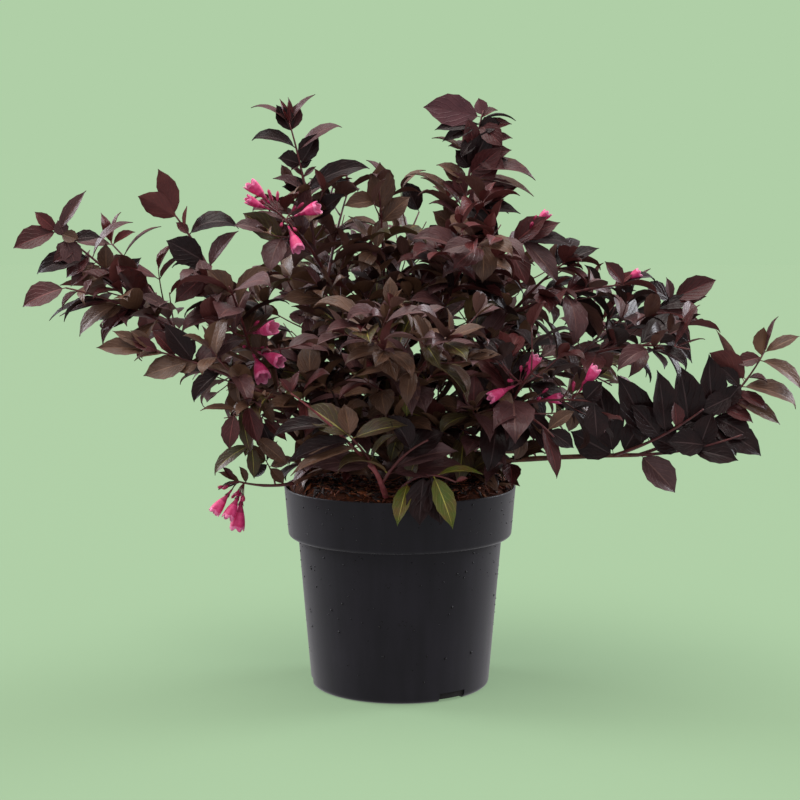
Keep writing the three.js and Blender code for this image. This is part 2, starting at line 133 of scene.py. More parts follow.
for lamp in LAMPS:
    light = bpy.data.lights.new(lamp["name"], "SUN")
    light.energy = lamp["strength"]
    light.angle = math.radians(lamp["spread"])
    light.color = linear(lamp["colour"])[:3]
    sun = bpy.data.objects.new(lamp["name"], light)
    sun.rotation_euler = (0, math.radians(90 - lamp["climb"]), math.radians(lamp["bearing"]))
    bpy.context.scene.collection.objects.link(sun)

# The room's light is neutral, and past the floor's edge the eye sees the same green.
world = bpy.data.worlds.new("studio")
bpy.context.scene.world = world
world.use_nodes = True
sky = world.node_tree
sky.nodes["Background"].inputs["Color"].default_value = linear(STUDIO["room"])
sky.nodes["Background"].inputs["Strength"].default_value = STUDIO["room_strength"]
seen = add_node(sky, "ShaderNodeBackground", {"Color": linear(STUDIO["paint"]), "Strength": 1.0})
sight = add_node(sky, "ShaderNodeLightPath")
both = add_node(
    sky,
    "ShaderNodeMixShader",
    {0: sight.outputs["Is Camera Ray"], 1: sky.nodes["Background"].outputs[0], 2: seen.outputs[0]},
)
sky.links.new(both.outputs[0], sky.nodes["World Output"].inputs["Surface"])
bpy.context.scene.view_settings.view_transform = "Standard"

# --------------------------------------------------------------------------------------------- pot
# A nursery pot, injection-moulded in one shot of black polypropylene. The wide band under the rim
# stiffens it, and three notches in its foot let water and air out.

POT = {
    "height": 229 * MM,
    "base_radius": 102 * MM,
    "base_corner": 6 * MM,
    "body_top_radius": 116 * MM,
    "body_top_height": 171 * MM,
    "step_height": 10 * MM,
    "band_foot_radius": 127.4 * MM,
    "band_round": 5 * MM,
    "band_lift": 6 * MM,
    "rim_radius": 131.8 * MM,
    "lip": 1.1 * MM,
    "seam": 0.4 * MM,
    "wall": 2.2 * MM,
    "floor": 2.6 * MM,
    "facets": 160,
}
NOTCH = {"count": 3, "first": -55, "width": 34 * MM, "height": 10 * MM, "depth": 13 * MM}
DRAIN = {"count": 6, "ring": 56 * MM, "radius": 4 * MM, "depth": 20 * MM, "sides": 24}
WELD = 0.02 * MM
# Its moulded skin: patches of dust, upright water marks and the fine grain of the tool.
PLASTIC = {
    "dust": 71.43 * MM,
    "mark_width": 16.667 * MM,
    "mark_length": 200 * MM,
    "clean": "#0F0E14",
    "dusty": "#1B1920",
    "clean_below": 0.16,
    "dusty_above": 0.42,
    "roughness": (0.36, 0.5),
    "grain": 0.7143 * MM,
    "grain_depth": 0.4 * MM,
    "relief": 0.12,
}


def alone(piece):
    """Selects a piece alone, and makes it the active one."""
    bpy.ops.object.select_all(action="DESELECT")
    bpy.context.view_layer.objects.active = piece
    piece.select_set(True)


def smoothed(piece, angle):
    """Shades a piece smooth across its edges up to an angle."""
    alone(piece)
    bpy.ops.object.shade_smooth_by_angle(angle=math.radians(angle))


def spun(name, section, facets):
    """A solid turned round the Z axis from its half section, from the axis to the axis."""
    mesh = bpy.data.meshes.new(name)
    corners = [(radius, 0, height) for radius, height in section]
    mesh.from_pydata(corners, [(i, i + 1) for i in range(len(corners) - 1)], [])
    piece = bpy.data.objects.new(name, mesh)
    bpy.context.scene.collection.objects.link(piece)
    alone(piece)
    bpy.ops.object.mode_set(mode="EDIT")
    bpy.ops.mesh.select_all(action="SELECT")
    bpy.ops.mesh.spin(steps=facets, angle=math.tau, center=(0, 0, 0), axis=(0, 0, 1))
    bpy.ops.mesh.select_all(action="SELECT")
    bpy.ops.mesh.remove_doubles(threshold=WELD)
    bpy.ops.mesh.normals_make_consistent(inside=False)
    bpy.ops.object.mode_set(mode="OBJECT")
    return piece


def cut(piece, tool):
    """Cuts a tool's shape out of a piece, and drops the tool."""
    bpy.context.view_layer.objects.active = piece
    modifier = piece.modifiers.new("cut", "BOOLEAN")
    modifier.object = tool
    modifier.operation = "DIFFERENCE"
    modifier.solver = "EXACT"
    bpy.ops.object.modifier_apply(modifier=modifier.name)
    bpy.data.objects.remove(tool)


def arc(centre, radius, start, end, steps):
    """Points round a corner in the half section, from one angle to another."""
    turns = [math.radians(start + (end - start) * i / steps) for i in range(steps + 1)]
    return [(centre[0] + radius * math.cos(t), centre[1] + radius * math.sin(t)) for t in turns]


def black_polypropylene():
    """Polypropylene, moulded in a fine-grained tool: a soft sheen, with dust and dried water marks."""
    material, tree, shader, place = new_material("black_polypropylene")
    across, upright = 1 / PLASTIC["mark_width"], 1 / PLASTIC["mark_length"]
    cloud = add_node(
        tree, "ShaderNodeTexNoise", {"Vector": place, "Scale": 1 / PLASTIC["dust"], "Detail": 6.0}
    )
    flow = add_node(tree, "ShaderNodeMapping", {"Vector": place, "Scale": (across, across, upright)})
    streak = add_node(tree, "ShaderNodeTexNoise", {"Vector": flow.outputs[0], "Scale": 1.0, "Detail": 4.0})
    dusty = add_node(
        tree,
        "ShaderNodeMath",
        {0: cloud.outputs["Fac"], 1: streak.outputs["Fac"]},
        operation="MULTIPLY",
    )
    colour = add_node(tree, "ShaderNodeValToRGB", {"Fac": dusty.outputs[0]})
    colour.color_ramp.elements[0].position = PLASTIC["clean_below"]
    colour.color_ramp.elements[0].color = linear(PLASTIC["clean"])
    colour.color_ramp.elements[1].position = PLASTIC["dusty_above"]
    colour.color_ramp.elements[1].color = linear(PLASTIC["dusty"])
    smooth, dull = PLASTIC["roughness"]
    gloss = add_node(
        tree,
        "ShaderNodeMapRange",
        {"Value": dusty.outputs[0], "From Min": 0.1, "From Max": 0.45, "To Min": smooth, "To Max": dull},
    )
    grain = add_node(
        tree, "ShaderNodeTexNoise", {"Vector": place, "Scale": 1 / PLASTIC["grain"], "Detail": 2.0}
    )
    raised = {"Strength": PLASTIC["relief"], "Distance": PLASTIC["grain_depth"]}
    bump = add_node(tree, "ShaderNodeBump", {"Height": grain.outputs["Fac"], **raised})
    tree.links.new(colour.outputs[0], shader.inputs["Base Color"])
    tree.links.new(gloss.outputs[0], shader.inputs["Roughness"])
    tree.links.new(bump.outputs[0], shader.inputs["Normal"])
    shader.inputs["IOR"].default_value = 1.49
    shader.inputs["Specular IOR Level"].default_value = 0.25
    shader.inputs["Sheen Weight"].default_value = 0.25
    shader.inputs["Sheen Roughness"].default_value = 0.35
    return material


pot_top = POT["height"]
rim_inside = POT["rim_radius"] - POT["wall"]
corner = POT["base_corner"]
band_corner = (POT["band_foot_radius"] - POT["band_round"], POT["body_top_height"] + POT["band_lift"])
pot_section = [
    (0, 0),
    *arc((POT["base_radius"] - corner, corner), corner, -90, 0, 5),
    (POT["body_top_radius"], POT["body_top_height"]),
    (POT["band_foot_radius"] - 1.5 * POT["band_round"], POT["body_top_height"] + POT["seam"]),
    *arc(band_corner, POT["band_round"], -75, 0, 6),
    (POT["rim_radius"] - 0.5 * MM, pot_top - POT["band_round"]),
    *arc((POT["rim_radius"] - POT["lip"], pot_top - POT["lip"]), POT["lip"], 0, 180, 8),
    (rim_inside, pot_top - POT["band_lift"]),
    (POT["band_foot_radius"] - POT["wall"], POT["body_top_height"] + POT["step_height"]),
    (POT["body_top_radius"] - POT["wall"], POT["body_top_height"] + POT["wall"]),
    (POT["base_radius"] - POT["wall"], POT["floor"]),
    (0, POT["floor"]),
]
pot = spun("nursery_pot", pot_section, POT["facets"])
for i in range(NOTCH["count"]):
    turn = math.radians(NOTCH["first"] + 360 * i / NOTCH["count"])
    spot = (POT["base_radius"] * math.cos(turn), POT["base_radius"] * math.sin(turn), 0)
    bpy.ops.mesh.primitive_cube_add(size=1, location=spot, rotation=(0, 0, turn))
    bpy.context.object.scale = (2 * NOTCH["depth"], NOTCH["width"], 2 * NOTCH["height"])
    cut(pot, bpy.context.object)
for i in range(DRAIN["count"]):
    turn = math.tau * i / DRAIN["count"]
    spot = (DRAIN["ring"] * math.cos(turn), DRAIN["ring"] * math.sin(turn), 0)
    bpy.ops.mesh.primitive_cylinder_add(
        vertices=DRAIN["sides"], radius=DRAIN["radius"], depth=DRAIN["depth"], location=spot
    )
    cut(pot, bpy.context.object)
smoothed(pot, 32)
pot.data.materials.append(black_polypropylene())
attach(pot, "root")
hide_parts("pot")

# ------------------------------------------------------------------------------------- water drops
# The plant has just been watered: small flattened drops cling to the pot's wall and band, most of
# them near the top.

DROPS = {
    "count": 480,
    "smallest": 0.5 * MM,
    "largest": 1.6 * MM,
    "lowest": 15 * MM,
    "below_rim": 6 * MM,
    "below_step": 2 * MM,
    "crowding": 0.45,
    "flat": 0.6,
    "sunk": 0.08,
    "tilt": -0.08,
    "ripple": 1.1111 * MM,
    "seed": 5,
}


def joined(name, parts, materials):
    """One object of many small meshes. A part is its corners, its faces and the faces' slots."""
    corners = np.concatenate([np.asarray(part[0], float).reshape(-1, 3) for part in parts])
    faces, slots, first = [], [], 0
    for own_corners, own_faces, own_slots in parts:
        faces += [tuple(first + i for i in face) for face in own_faces]
        slots += own_slots if isinstance(own_slots, list) else [own_slots] * len(own_faces)
        first += len(own_corners)
    mesh = bpy.data.meshes.new(name)
    mesh.from_pydata(corners.tolist(), [], faces)
    mesh.polygons.foreach_set("material_index", slots)
    for material in materials:
        mesh.materials.append(material)
    mesh.polygons.foreach_set("use_smooth", [True] * len(faces))
    mesh.update()
    piece = bpy.data.objects.new(name, mesh)
    bpy.context.scene.collection.objects.link(piece)
    return piece


def dome(centre, outward, radius, rings=3, sides=8):
    """A flattened drop that sits on a surface, closed underneath."""
    outward = outward / np.linalg.norm(outward)
    side = np.cross(outward, (0.0, 0.3, 1.0))
    side /= np.linalg.norm(side)
    up = np.cross(outward, side)
    corners = [centre + outward * radius * DROPS["flat"]]
    for ring in range(1, rings + 1):
        lean = math.pi / 2 * ring / rings
        for k in range(sides):
            turn = math.tau * k / sides
            flat = side * math.cos(turn) + up * math.sin(turn)
            height = outward * (math.cos(lean) * DROPS["flat"] - DROPS["sunk"])
            corners.append(centre + radius * (flat * math.sin(lean) + height))
    faces = [(0, 1 + k, 1 + (k + 1) % sides) for k in range(sides)]
    for ring in range(rings - 1):
        a, b = 1 + ring * sides, 1 + (ring + 1) * sides
        faces += [(a + k, b + k, b + (k + 1) % sides, a + (k + 1) % sides) for k in range(sides)]
    faces.append(tuple(1 + (rings - 1) * sides + k for k in range(sides))[::-1])
    return corners, faces, 0


def water():
    """Clear water: it takes the dark of what it lies on, and mirrors the lamps sharply."""
    material, tree, shader, place = new_material("water")
    ripple = add_node(tree, "ShaderNodeTexNoise", {"Vector": place, "Scale": 1 / DROPS["ripple"]})
    tint = add_node(tree, "ShaderNodeValToRGB", {"Fac": ripple.outputs["Fac"]})
    tint.color_ramp.elements[0].color = linear("#060607")
    tint.color_ramp.elements[1].color = linear("#121214")
    tree.links.new(tint.outputs[0], shader.inputs["Base Color"])
    shader.inputs["Roughness"].default_value = 0.06
    shader.inputs["IOR"].default_value = 1.333
    return material


draw = random.Random(DROPS["seed"])
drops = []
for _ in range(DROPS["count"]):
    room = pot_top - DROPS["below_rim"] - DROPS["lowest"]
    height = DROPS["lowest"] + room * draw.random() ** DROPS["crowding"]
    band = POT["body_top_height"] + POT["step_height"]
    if POT["body_top_height"] - DROPS["below_step"] < height < band:
        continue
    if height > band:
        share = (height - band) / (pot_top - band)
        radius = POT["band_foot_radius"] + share * (POT["rim_radius"] - POT["band_foot_radius"])
    else:
        share = height / POT["body_top_height"]
        radius = POT["base_radius"] + share * (POT["body_top_radius"] - POT["base_radius"])
    turn = math.tau * draw.random()
    outward = np.array([math.cos(turn), math.sin(turn), DROPS["tilt"]])
    size = DROPS["smallest"] + (DROPS["largest"] - DROPS["smallest"]) * draw.random() ** 2
    spot = np.array([radius * math.cos(turn), radius * math.sin(turn), height])
    drops.append(dome(spot, outward, size))
pot_drops = joined("pot_drops", drops, [water()])
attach(pot_drops, "root")

# ----------------------------------------------------------------------------------------- compost
# Moist potting compost of composted bark and coarse peat. It is heaped above the rim round the sides
# and the back, dips at the front, and lies flat round the stool. Bark and fibres lie loose on it.

COMPOST = {
    "edge": 223 * MM,
    "edge_radius": 127 * MM,
    "heap": 245 * MM,
    "heap_radius": 115 * MM,
    "heap_inside": 84 * MM,
    "top": 238 * MM,
    "top_radius": 42 * MM,
    "dip": 0.6,
    "gap": 0.3 * MM,
    "skin": 1 * MM,
    # How deep under its edge the fill turns to a painted shade.
    "painted_shade_depth": 30 * MM,
    "facets": 120,
    "rings": 24,
}
# How wide and how deep its large and its small lumps are.
CLODS = [(26 * MM, 4 * MM), (7 * MM, 2.4 * MM)]
# Loose shreds. The shares say how often each tint of bark comes, from dark to tan.
CHIPS = {
    "count": 1500, "longest": 15 * MM, "width": 4.2 * MM, "thick": 1.1 * MM, "bends": 2, "lift": 0.35,
    "shares": [6, 3, 1.2, 0.4], "seed": 11,
}
FIBRES = {
    "count": 1100, "longest": 24 * MM, "width": 0.8 * MM, "thick": 0.6 * MM, "bends": 4, "lift": 0.5,
    "shares": [3, 4, 2.5, 0.6], "seed": 12,
}
SHRED = {"within": 125 * MM, "edge": 126 * MM, "shortest": 0.25, "curl": 2.4, "raised": 1.2 * MM}
# How far the gloss of a natural surface drifts, and between which shares of the noise its tints lie.
GLOSS_DRIFT = 0.08
TINT_RANGE = (0.32, 0.68)


def compost_height(x, y):
    """How high the compost stands. Its heap is lower towards the front."""
    radius = math.hypot(x, y) + 1e-9
    share = 1 - COMPOST["dip"] * max(0.0, -y / radius)
    heap = COMPOST["edge"] + (COMPOST["heap"] - COMPOST["edge"]) * share
    marks = [COMPOST[name] for name in ("top_radius", "heap_inside", "heap_radius", "edge_radius")]
    return float(np.interp(radius, marks, [COMPOST["top"], heap, heap, COMPOST["edge"]]))


def mottled(name, hexes, patch, grain, roughness, relief, relief_size=None, **shader_values):
    """A natural surface whose colour drifts between a few tints, with fine relief. Sizes in metres."""
    material, tree, shader, place = new_material(name)
    drift = add_node(tree, "ShaderNodeTexNoise", {"Vector": place, "Scale": 1 / patch, "Detail": 5.0})
    colour = add_node(tree, "ShaderNodeValToRGB", {"Fac": drift.outputs["Fac"]})
    ramp = colour.color_ramp
    while len(ramp.elements) < len(hexes):
        ramp.elements.new(0.5)
    for element, tint, share in zip(ramp.elements, hexes, np.linspace(*TINT_RANGE, len(hexes))):
        element.position = share
        element.color = linear(tint)
    fine = add_node(tree, "ShaderNodeTexNoise", {"Vector": place, "Scale": 1 / grain, "Detail": 3.0})
    smooth, dull = roughness - GLOSS_DRIFT, roughness + GLOSS_DRIFT
    gloss = add_node(
        tree,
        "ShaderNodeMapRange",
        {"Value": fine.outputs["Fac"], "To Min": smooth, "To Max": dull},
    )
    bump = add_node(
        tree,
        "ShaderNodeBump",
        {"Height": fine.outputs["Fac"], "Strength": relief, "Distance": relief_size or grain * 0.5},
    )
    tree.links.new(colour.outputs[0], shader.inputs["Base Color"])
    tree.links.new(gloss.outputs[0], shader.inputs["Roughness"])
    tree.links.new(bump.outputs[0], shader.inputs["Normal"])
    for socket, value in shader_values.items():
        shader.inputs[socket.replace("_", " ")].default_value = value
    return material


rings = COMPOST["rings"]
skin = COMPOST["edge"] + COMPOST["skin"]
surface = [(COMPOST["edge_radius"] * (1 - i / rings), skin) for i in range(rings + 1)]
slope_edge = POT["band_foot_radius"] - POT["wall"] - COMPOST["gap"]
compost_section = [
    (0, POT["floor"] + COMPOST["gap"]),
    (POT["base_radius"] - POT["wall"] - COMPOST["gap"], POT["floor"] + COMPOST["gap"]),
    (POT["body_top_radius"] - POT["wall"] - COMPOST["gap"], POT["body_top_height"] + POT["wall"]),
    (slope_edge, POT["body_top_height"] + POT["step_height"] + POT["wall"]),
    *surface,
]
compost = spun("compost_body", compost_section, COMPOST["facets"])
compost.vertex_groups.new(name="loose")
on_top = [v.index for v in compost.data.vertices if v.co.z > COMPOST["edge"]]
for i in on_top:
    place = compost.data.vertices[i].co
    place.z = compost_height(place.x, place.y)
compost.vertex_groups["loose"].add(on_top, 1.0, "REPLACE")
for width, depth in CLODS:
    clods = bpy.data.textures.new("clods", "CLOUDS")
    clods.noise_scale = width
    lumps = compost.modifiers.new("lumps", "DISPLACE")
    lumps.texture = clods
    lumps.strength = depth
    lumps.mid_level = 0.5
    lumps.direction = "Z"
    lumps.vertex_group = "loose"
    bpy.ops.object.modifier_apply(modifier=lumps.name)
smoothed(compost, 40)
# Moist bark is red-brown, crumbly and nearly matt. Under it the fill is painted near black, a
# painted shade that makes the notches in the pot's foot look dark inside.
CRUMBS = {"patch": 9 * MM, "grain": 1.6 * MM}
moist_bark = mottled(
    "moist_bark_compost", ["#1C0F09", "#43200F", "#2A140A", "#562B13"], **CRUMBS, roughness=0.85,
    relief=0.9, Specular_IOR_Level=0.08,
)
painted_shade_fill = mottled("painted_shade_fill", ["#080605", "#140E0B"], **CRUMBS, roughness=0.9, relief=0.5)
compost.data.materials.append(moist_bark)
compost.data.materials.append(painted_shade_fill)
# Faces deep in the pot take the painted shade, so the notches in its foot look dark.
for face in compost.data.polygons:
    face.material_index = int(face.center.z < COMPOST["edge"] - COMPOST["painted_shade_depth"])
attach(compost, "root")
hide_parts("compost")


def strip(spine, width, thick, twist):
    """A flat curved shred along a list of points, narrower at its ends."""
    spine = np.asarray(spine)
    ahead = np.gradient(spine, axis=0)
    ahead /= np.linalg.norm(ahead, axis=1)[:, None]
    side = np.cross(ahead, (0, 0, 1.0))
    side /= np.linalg.norm(side, axis=1)[:, None] + 1e-9
    over = np.cross(side, ahead)
    turns = np.linspace(0, twist, len(spine))[:, None]
    flat = side * np.cos(turns) + over * np.sin(turns)
    tall = over * np.cos(turns) - side * np.sin(turns)
    widths = np.full((len(spine), 1), width / 2)
    widths[0] *= 0.6
    widths[-1] *= 0.3
    broad, deep = flat * widths, tall * thick / 2
    corners = np.stack([spine + broad, spine + deep, spine - broad, spine - deep], axis=1).reshape(-1, 3)
    faces = []
    for i in range(len(spine) - 1):
        a, b = 4 * i, 4 * i + 4
        faces += [(a + k, a + (k + 1) % 4, b + (k + 1) % 4, b + k) for k in range(4)]
    last = 4 * len(spine) - 4
    faces += [(3, 2, 1, 0), (last, last + 1, last + 2, last + 3)]
    return corners, faces


def scatter(settings):
    """Shreds laid at random over the mound, most of them short."""
    draw = random.Random(settings["seed"])
    steps, shortest = settings["bends"], SHRED["shortest"]
    parts = []
    for _ in range(settings["count"]):
        radius = SHRED["within"] * math.sqrt(draw.random())
        turn = math.tau * draw.random()
        length = settings["longest"] * (shortest + (1 - shortest) * draw.random() ** 2)
        bearing = math.tau * draw.random()
        curl = (draw.random() - 0.5) * SHRED["curl"]
        slant = (draw.random() - 0.35) * settings["lift"]
        point = np.array([radius * math.cos(turn), radius * math.sin(turn), 0.0])
        spine = []
        for i in range(steps + 1):
            spine.append(point.copy())
            angle = bearing + curl * i / steps
            point = point + length / steps * np.array([math.cos(angle), math.sin(angle), 0])
        if np.hypot(point[0], point[1]) > SHRED["edge"]:
            continue
        for i, on in enumerate(spine):
            on[2] = compost_height(on[0], on[1]) + SHRED["raised"] + slant * length * i / steps
        width = settings["width"] * (0.6 + 0.8 * draw.random())
        corners, faces = strip(spine, width, settings["thick"], 2 * draw.random())
        shares = settings["shares"]
        parts.append((corners, faces, draw.choices(range(len(shares)), shares)[0]))
    return parts


# Shredded bark is fibrous and matt, in the tints of its outer and its inner layers.
TORN = {"patch": 5 * MM, "grain": 1 * MM, "relief": 0.6}
shred_tints = [
    mottled("bark_dark", ["#1B0F0B", "#2C1710"], **TORN, roughness=0.8),
    mottled("bark_red", ["#4E2212", "#6E3219"], **TORN, roughness=0.8),
    mottled("bark_orange", ["#7A3C1B", "#9A5428"], **TORN, roughness=0.75),
    mottled("bark_tan", ["#8A6A4A", "#5E4026"], **TORN, roughness=0.8),
]
compost_shreds = joined("compost_shreds", scatter(CHIPS) + scatter(FIBRES), shred_tints)
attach(compost_shreds, "root")

# ------------------------------------------------------------------------------ stool and boughs
# The woody crown of the plant, and the boughs of two or three years that rise from it: thin red-brown
# bark with fine ridges. Every bough is one tapering limb that leaves the stool at its bearing and
# climb, and arches up or sags by its bow, as a part of its length. Lengths are in millimetres.

STOOL = {
    "flare": 31 * MM, "waist": 21 * MM, "top": 15 * MM, "height": 27 * MM, "sunk": 3 * MM, "facets": 36,
}
# How wide and how deep the stool's knobs and its ridges are.
GNARLS = [(14 * MM, 6 * MM), (4 * MM, 1.6 * MM)]
# Where the boughs spring from: the stool's foot, and how far out and how high on it.
FOOT_LEVEL = 238
BUD = {"out": 6, "low": 8, "high": 22}
BOUGH = {"foot": 3.9 * MM, "tip": 2.2 * MM, "facets": 9, "step": 7 * MM, "ridge": 0.07}
FORK_STEP = 14
# How far into its own stretch of a stem each pair of leaves sits.
NODE_AT = 0.55

BOUGHS = [
    dict(
        name="left_leader", line=(175, 68, 250, 0.05), palette="purple",
        shoots=[
            dict(line=(-165, 79, 152, 0.03), vigour=0.9, turn=60),
            dict(
                line=(-125, 36, 120, 0.08),
                blooms=[
                    (0.85, -165, 50, 1), (0.83, -155, 20, 0.9), (0.7, -20, 20, 0.95), (0.73, -50, -50, 1),
                ],
            ),
            dict(line=(65, 62, 115, 0.05)),
        ],
    ),
    dict(
        name="centre", line=(115, 78, 185, 0.04), palette="light",
        shoots=[dict(line=(-100, 73, 130, 0.03)), dict(line=(55, 60, 130, 0.05), bushy=1.3)],
    ),
    dict(
        name="right_leader", line=(0, 74, 205, 0.06), palette="wine",
        shoots=[
            dict(line=(0, 80, 200, 0.02), vigour=1.2, turn=60),
            dict(line=(-65, 30, 145, 0.1)),
            dict(line=(-5, 40, 145, 0.06), blooms=[(0.88, 0, 50, 0.8)]),
        ],
    ),
    dict(
        name="left_arch", line=(-165, 38, 230, 0.1), palette="purple",
        shoots=[
            dict(line=(160, 61, 175, 0.08), turn=50),
            dict(
                line=(-105, 49, 95, 0.04),
                blooms=[(0.22, -45, 8, 1.1), (0.0, -40, -12, 1.15), (0.04, -60, -38, 1.15)],
            ),
            dict(line=(-80, 6, 105, 0.05)),
        ],
    ),
    dict(
        name="left_long", line=(180, 31, 305, 0.08), palette="wine",
        shoots=[
            dict(line=(-175, 43, 160, 0.04), vigour=1.1, turn=30),
            dict(line=(145, 45, 140, 0.05), bushy=1.3),
            dict(line=(-150, 22, 155, 0.05)),
        ],
    ),
    dict(
        name="left_low", line=(-150, 29, 190, 0.08), palette="brown",
        shoots=[dict(line=(180, 21, 135, 0.05), bushy=1.2), dict(line=(-145, -17, 55, 0.08))],
    ),
    dict(
        name="left_skirt", line=(-150, -2, 130, 0.12), palette="olive",
        shoots=[
            dict(
                line=(-165, 5, 66, -0.08),
                blooms=[(0.93, -165, -50, 1), (0.83, -140, -60, 1), (0.83, 180, -80, 1.2)],
            ),
        ],
    ),
    dict(
        name="front_spray", line=(-125, 58, 55, 0.06), ground=(-97, 106), palette="olive",
        shoots=[
            dict(line=(-140, 48, 45, 0.05), vigour=1.25),
            dict(line=(-155, 43, 135, 0.04), vigour=1.1),
            dict(line=(-35, 41, 80, 0.1), vigour=1.15),
        ],
    ),
    dict(
        name="front_rise", line=(-85, 48, 130, 0.05), palette="light",
        shoots=[
            dict(line=(-115, 34, 130, 0.05), bushy=1.2),
            dict(line=(-70, 30, 140, 0.05), bushy=1.2),
        ],
    ),
    dict(
        name="right_inner", line=(-35, 29, 160, 0.1), palette="dark",
        shoots=[
            dict(
                line=(-70, 33, 105, 0.05), vigour=1.15,
                blooms=[(0.48, -160, -20, 1), (0.35, -20, 60, 0.9)],
            ),
            dict(
                line=(-30, 7, 115, 0.06), vigour=1.1,
                blooms=[(0.35, -20, 10, 0.8), (0.78, -15, 50, 1)],
            ),
            dict(line=(-55, -8, 115, 0.14), vigour=1.15),
        ],
    ),
    dict(
        name="right_upper", line=(0, 54, 220, 0.06), palette="deep",
        shoots=[
            dict(line=(-25, 42, 75, 0.04)),
            dict(line=(-30, 15, 145, 0.06), blooms=[(0.93, 0, 30, 0.7)]),
        ],
    ),
    dict(
        name="right_arch", line=(-5, 31, 255, 0.08), palette="deep",
        shoots=[
            dict(line=(5, 35, 105, 0.05), turn=40),
            dict(line=(-40, 6, 135, 0.08)),
            dict(line=(50, 22, 135, 0.04), bushy=1.3),
        ],
    ),
    dict(
        name="right_long", line=(-10, 5, 265, 0.016), palette="dark",
        shoots=[
            dict(line=(5, 39, 180, -0.14), vigour=1.1),
            dict(line=(-15, 12, 130, -0.06), vigour=1.15),
            dict(line=(-45, 27, 135, -0.05), vigour=1.2),
        ],
    ),
    dict(
        name="back_left", line=(125, 36, 215, 0.08), palette="light",
        shoots=[
            dict(line=(115, 43, 120, 0.05), bushy=1.4),
            dict(line=(60, 77, 155, 0.03), bushy=1.2),
            dict(line=(160, -15, 150, 0.1), bushy=1.5),
        ],
    ),
    dict(
        name="back_right", line=(55, 35, 220, 0.08), palette="light",
        shoots=[
            dict(line=(60, 43, 130, 0.05), bushy=1.4),
            dict(line=(135, 74, 155, 0.03), bushy=1.2),
            dict(line=(10, -13, 175, 0.1), bushy=1.5),
        ],
    ),
]
SUCKERS = [
    dict(name="front_sucker", line=(-30, 22, 85, 0.3), ground=(-95, 110), palette="green"),
    dict(name="back_mid", line=(90, 40, 275, 0.1), bushy=1.4, palette="purple"),
    dict(name="back_low", line=(85, 10, 240, 0.14), bushy=1.6, palette="brown"),
]


def heading(bearing, climb):
    """The unit direction of a bearing and a climb."""
    b, c = math.radians(bearing), math.radians(climb)
    return np.array([math.cos(c) * math.cos(b), math.cos(c) * math.sin(b), math.sin(c)])


def angles_of(direction):
    """The bearing and the climb of a unit direction."""
    bearing = math.degrees(math.atan2(direction[1], direction[0]))
    return bearing, math.degrees(math.asin(direction[2]))


def unit(v):
    """A vector, or a stack of them, at length one."""
    return v / (np.linalg.norm(v, axis=-1, keepdims=True) + 1e-12)


class CentreLine:
    """A limb's cubic centre line in the upright plane of its bearing. Its length is in millimetres."""

    def __init__(self, bearing, climb, length, bow, start):
        along = heading(bearing, climb) * length * MM
        lift = heading(bearing, climb + 90) * length * bow * MM
        self.marks = [start, start + along / 3 + lift, start + along * 2 / 3 + lift, start + along]
        self.length = length
        self.side = heading(bearing - 90, 0)

    def at(self, t):
        a, b, c, d = self.marks
        return (1 - t) ** 3 * a + 3 * (1 - t) ** 2 * t * b + 3 * (1 - t) * t * t * c + t**3 * d

    def forward(self, t):
        a, b, c, d = self.marks
        return unit((1 - t) ** 2 * (b - a) + 2 * (1 - t) * t * (c - b) + t * t * (d - c))


def tube(curve, kind, knots=0, slot=0):
    """A closed round limb along a centre line. Its bark has ridges, and it swells at its knots."""
    steps, facets = max(2, math.ceil(curve.length * MM / kind["step"])), kind["facets"]
    ridge, swell = kind.get("ridge", 0), kind.get("swell", 0)
    corners = []
    for i in range(steps + 1):
        t = i / steps
        forward = curve.forward(t)
        across = np.cross(curve.side, forward)
        radius = kind["foot"] + (kind["tip"] - kind["foot"]) * t
        if knots:
            radius *= 1 + swell * max(0.0, math.cos(math.tau * (t * knots - NODE_AT))) ** 8
        for k in range(facets):
            turn = math.tau * k / facets
            bark = 1 + ridge * math.sin(3.7 * k + 1.3 * math.sin(0.9 * i + k))
            flat = curve.side * math.cos(turn) + across * math.sin(turn)
            corners.append(curve.at(t) + flat * radius * bark)
    faces = [tuple(range(facets))]
    for i in range(steps):
        a, b = i * facets, (i + 1) * facets
        faces += [(a + k, b + k, b + (k + 1) % facets, a + (k + 1) % facets) for k in range(facets)]
    faces.append(tuple(steps * facets + k for k in range(facets))[::-1])
    return corners, faces, slot


def foot_of(limb):
    """Where a limb starts: under the compost's surface, or inside the stool, where steep ones rise
    from its top and flat ones from its flank."""
    if "ground" in limb:
        bearing, out = limb["ground"]
        return heading(bearing, 0) * out * MM + np.array([0, 0, COMPOST["edge"]])
    bearing, climb = limb["line"][:2]
    foot = heading(bearing, 0) * BUD["out"] * math.cos(math.radians(climb))
    foot[2] = FOOT_LEVEL + BUD["low"] + (BUD["high"] - BUD["low"]) * climb / 90
    return foot * MM


